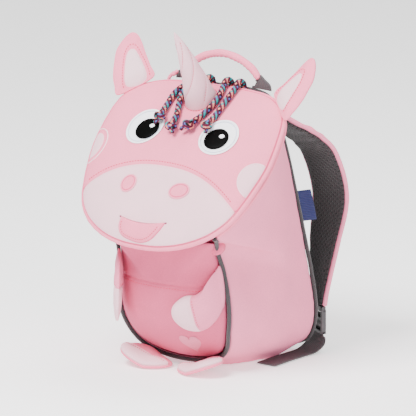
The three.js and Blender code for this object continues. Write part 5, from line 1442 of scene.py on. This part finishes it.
# Down the strap: x share of the back, y share of its reach, z share of the height, width.
STRAP = np.array([
    [0.31, 0.135, 0.945, 1], [0.36, 0.185, 0.915, 1], [0.47, 0.45, 0.865, 1], [0.65, 0.81, 0.792, 1],
    [0.76, 0.98, 0.712, 1], [0.83, 1, 0.559, 1], [0.87, 0.66, 0.403, 0.97], [0.89, 0.4, 0.26, 0.84],
    [0.9, 0.27, 0.172, 0.7]])
strap_mesh = spacer_mesh("spacer_mesh_strap", "#2c2527", hole=3.2)
for side, s in (("left", -1), ("right", 1)):
    rows = np.stack([s * STRAP[:, 0] * BACK_HALF,
                     back_y(STRAP[:, 2] * BAG_HEIGHT) + STRAP[:, 1] * STRAP_REACH,
                     STRAP[:, 2] * BAG_HEIGHT], 1)
    middle = spline(rows)
    t = np.linspace(0, 1, 260)
    way = middle(t)
    halves = spline(STRAP[:, 3:] * STRAP_HALF)(t)[:, 0]

    def turned(angle):
        return np.stack([np.cos(angle), -s * np.sin(angle), 0 * angle], 1)

    wides = turned(LOCK_TURN * smooth((t - 0.55) / 0.45))
    dip = near(t - 0.33, 0.02) * 0.5 + near(t - 0.385, 0.018) * 0.35
    along = unit(np.gradient(way, axis=0))
    fine = unit(wides - along * np.sum(wides * along, axis=1, keepdims=True))
    normal = unit(np.cross(along, fine))
    creased = way - normal * dip[:, None]
    pad = band(f"strap_{side}_mesh", creased, wides, halves - 0.6, 0, STRAP_PAD, strap_mesh, 26, edge=0.75)
    fit(pad, "spacer_mesh", f"strap_mesh_{side}", fill=0.5)
    cover = band(f"strap_{side}_cover", creased, wides, halves + 0.4, -GAP - STRAP_COVER, -GAP + 0.25,
                 pink_polyester, 20, edge=0.6)
    fit(cover, "pink_cloth", f"strap_cover_{side}", fill=0.4)
    for edge in (-1, 1):
        line = creased + fine * (edge * (halves + 0.2))[:, None] + normal * 0.3
        points, faces = round_cord(line, 2.0 + 0.08 * ripples(line, 6, 95), 16)
        name = f"strap_{side}_binding_{'inner' if edge * s < 0 else 'outer'}"
        fit(make_piece(name, points, faces, shaded_side_polyester), "pink_cloth")

    # The ladder-lock: a moulded frame with three bars, the strap's end sewn to its top.
    end = middle(1.0)[0]
    lock_top = end[2] - GAP - 2
    centre = np.array([end[0], end[1] - 1, lock_top - LOCK_TALL / 2])
    turn_by = -s * LOCK_TURN
    wide_way = np.array([math.cos(turn_by), math.sin(turn_by), 0])
    for part, size, off, up, nodes in (
            ("side_a", (2.4, LOCK_THICK, LOCK_TALL), -1, 0, [f"ladder_lock_{side}"]),
            ("side_b", (2.4, LOCK_THICK, LOCK_TALL), 1, 0, []),
            ("top_bar", (WEBBING + 3, 4.0, 5.2), 0, LOCK_TALL / 2, []),
            ("middle_bar", (WEBBING + 1, 3.0, 3.0), 0, 1.6, []),
            ("low_bar", (WEBBING + 1, 2.6, 2.6), 0, -4.4, []),
            ("lip", (WEBBING + 3, 4.4, 2.6), 0, -LOCK_TALL / 2 + 1.3, [])):
        spot = centre + wide_way * off * (WEBBING / 2 + 0.3) + [0, 0, up]
        piece = rounded_block(f"ladder_lock_{side}_{part}", size, spot, grey_acetal, turn_by, 0.7, 4)
        fit(piece, "grey_plastic", *nodes)
    # The webbing is threaded behind the bars and folded over the middle one.
    inside = np.linspace([0, 0, LOCK_TALL / 2 - 4.6], [0, 0, -LOCK_TALL / 2 - 0.4], 24) + centre
    behind = np.array([-wide_way[1], wide_way[0], 0])
    inside = inside + behind * (1.55 * np.sin(np.linspace(0, 3 * np.pi, 24)))[:, None]
    piece = band(f"lock_webbing_{side}", inside, np.tile(wide_way, (24, 1)), np.full(24, 9.0), -0.7, 0.7,
                 grey_webbing, edge=0.5)
    fit(piece, "grey_webbing")

    low, ground = lock_top - LOCK_TALL - GAP - 0.3, WEBBING_THICK / 2 + GAP
    route = [[0, -1, low], [-0.2, -1.6, 0.76 * low], [-1, -6, 0.4 * low], [-3, -16, ground + 0.8],
             [-5.2, -30, ground], [-6.6, -46, ground], [-7.6, -72, ground]]
    web = spline([[end[0] + s * x, end[1] + y, z] for x, y, z in route])(np.linspace(0, 1, 180))
    web_wides = turned(LOCK_TURN * (1 - smooth(np.linspace(0, 1, 180) / 0.4)))
    piece = band(f"strap_webbing_{side}_woven", web, web_wides, np.full(180, WEBBING / 2), -0.8, 0.8,
                 grey_webbing, edge=0.6)
    fit(piece, "grey_webbing", f"strap_webbing_{side}")


# The navy tab: a folded woven ribbon caught in the back seam, left plain. Its weave is the
# webbing's at half the scale.
navy_ribbon = webbing_material("woven_ribbon_navy", "#000b4c", 0.9, 0.6)
TAB_Z, TAB_TALL, TAB_DEEP, TAB_ROWS, TAB_COLUMNS = 134, 27, 13, 28, 18
fine = back_seam(np.linspace(0, 0.5, 1600))
order = np.argsort(fine[:, 2])
heights = TAB_Z + np.linspace(-0.5, 0.5, TAB_ROWS) * TAB_TALL
root_line = np.stack([np.interp(heights, fine[order, 2], fine[order, k]) for k in range(3)], 1)
outward, flat = unit(np.array([0.45, 0.89, 0])), np.array([0.89, -0.45, 0])
depth, share = np.linspace(0, 1, TAB_COLUMNS), np.linspace(0, 1, TAB_ROWS)[:, None]
bow = 0.7 * np.sin(np.pi * share) * depth[None] ** 2
sheet = root_line[:, None] + (PIPING - 0.2 + depth * (TAB_DEEP + 0.4))[None, :, None] * outward
sheet = sheet + bow[..., None] * flat
fold = 0.62 * np.sqrt(np.maximum(0.02, 1 - depth ** 10))[None, :, None] * flat
lay = np.stack(np.broadcast_arrays(depth[None] * TAB_DEEP, share * TAB_TALL * 0.6, 0.0), -1)
piece = grid_piece("side_tab_ribbon", sheet + fold, sheet - fold, navy_ribbon, lay=lay)
fit(piece, "navy_tape", "side_label")


# The studio: a white floor that fills the picture, a large soft light over the camera's
# left, a weaker one from the right, one from behind above, and a white surround.
# Matt white paper with the faintest cloudiness, a little lit from within so that it stays pale.
floor_paper, tree, shader = new_material("matt_white_paper")
fleck = add(tree, "TexNoise", {"Vector": add(tree, "TexCoord").outputs["Object"], "Scale": 40, "Detail": 2})
level = add(tree, "MapRange", {"Value": fleck.outputs["Fac"], "To Min": 0.995, "To Max": 1.0})
finish(tree, shader, linear("#fafafa"), level.outputs["Result"], 0.9)
shader.inputs["Emission Color"].default_value = (1, 1, 1, 1)
shader.inputs["Emission Strength"].default_value = 0.6
reach = 9000
floor = make_piece("studio_floor", [[-reach, -reach, -0.3], [reach, -reach, -0.3], [reach, reach, -0.3],
                                    [-reach, reach, -0.3]], [[0, 1, 2, 3]], floor_paper)
world = bpy.context.scene.world or bpy.data.worlds.new("studio")
bpy.context.scene.world = world
world.use_nodes = True
world.node_tree.nodes["Background"].inputs["Color"].default_value = (1, 1, 1, 1)
world.node_tree.nodes["Background"].inputs["Strength"].default_value = 0.7


def soft_light(name, place, size, power):
    lamp = bpy.data.lights.new(name, "AREA")
    lamp.energy, lamp.size = power, size
    held = bpy.data.objects.new(name, lamp)
    bpy.context.scene.collection.objects.link(held)
    held.location = place
    held.rotation_euler = (CAMERA_AIM - Vector(place)).to_track_quat("-Z", "Y").to_euler()


soft_light("key_light", (-0.15, -1.0, 1.5), 0.7, 64)
soft_light("side_light", (1.2, -0.6, 0.7), 0.9, 15)
soft_light("top_light", (0.1, 0.5, 1.4), 0.8, 14)
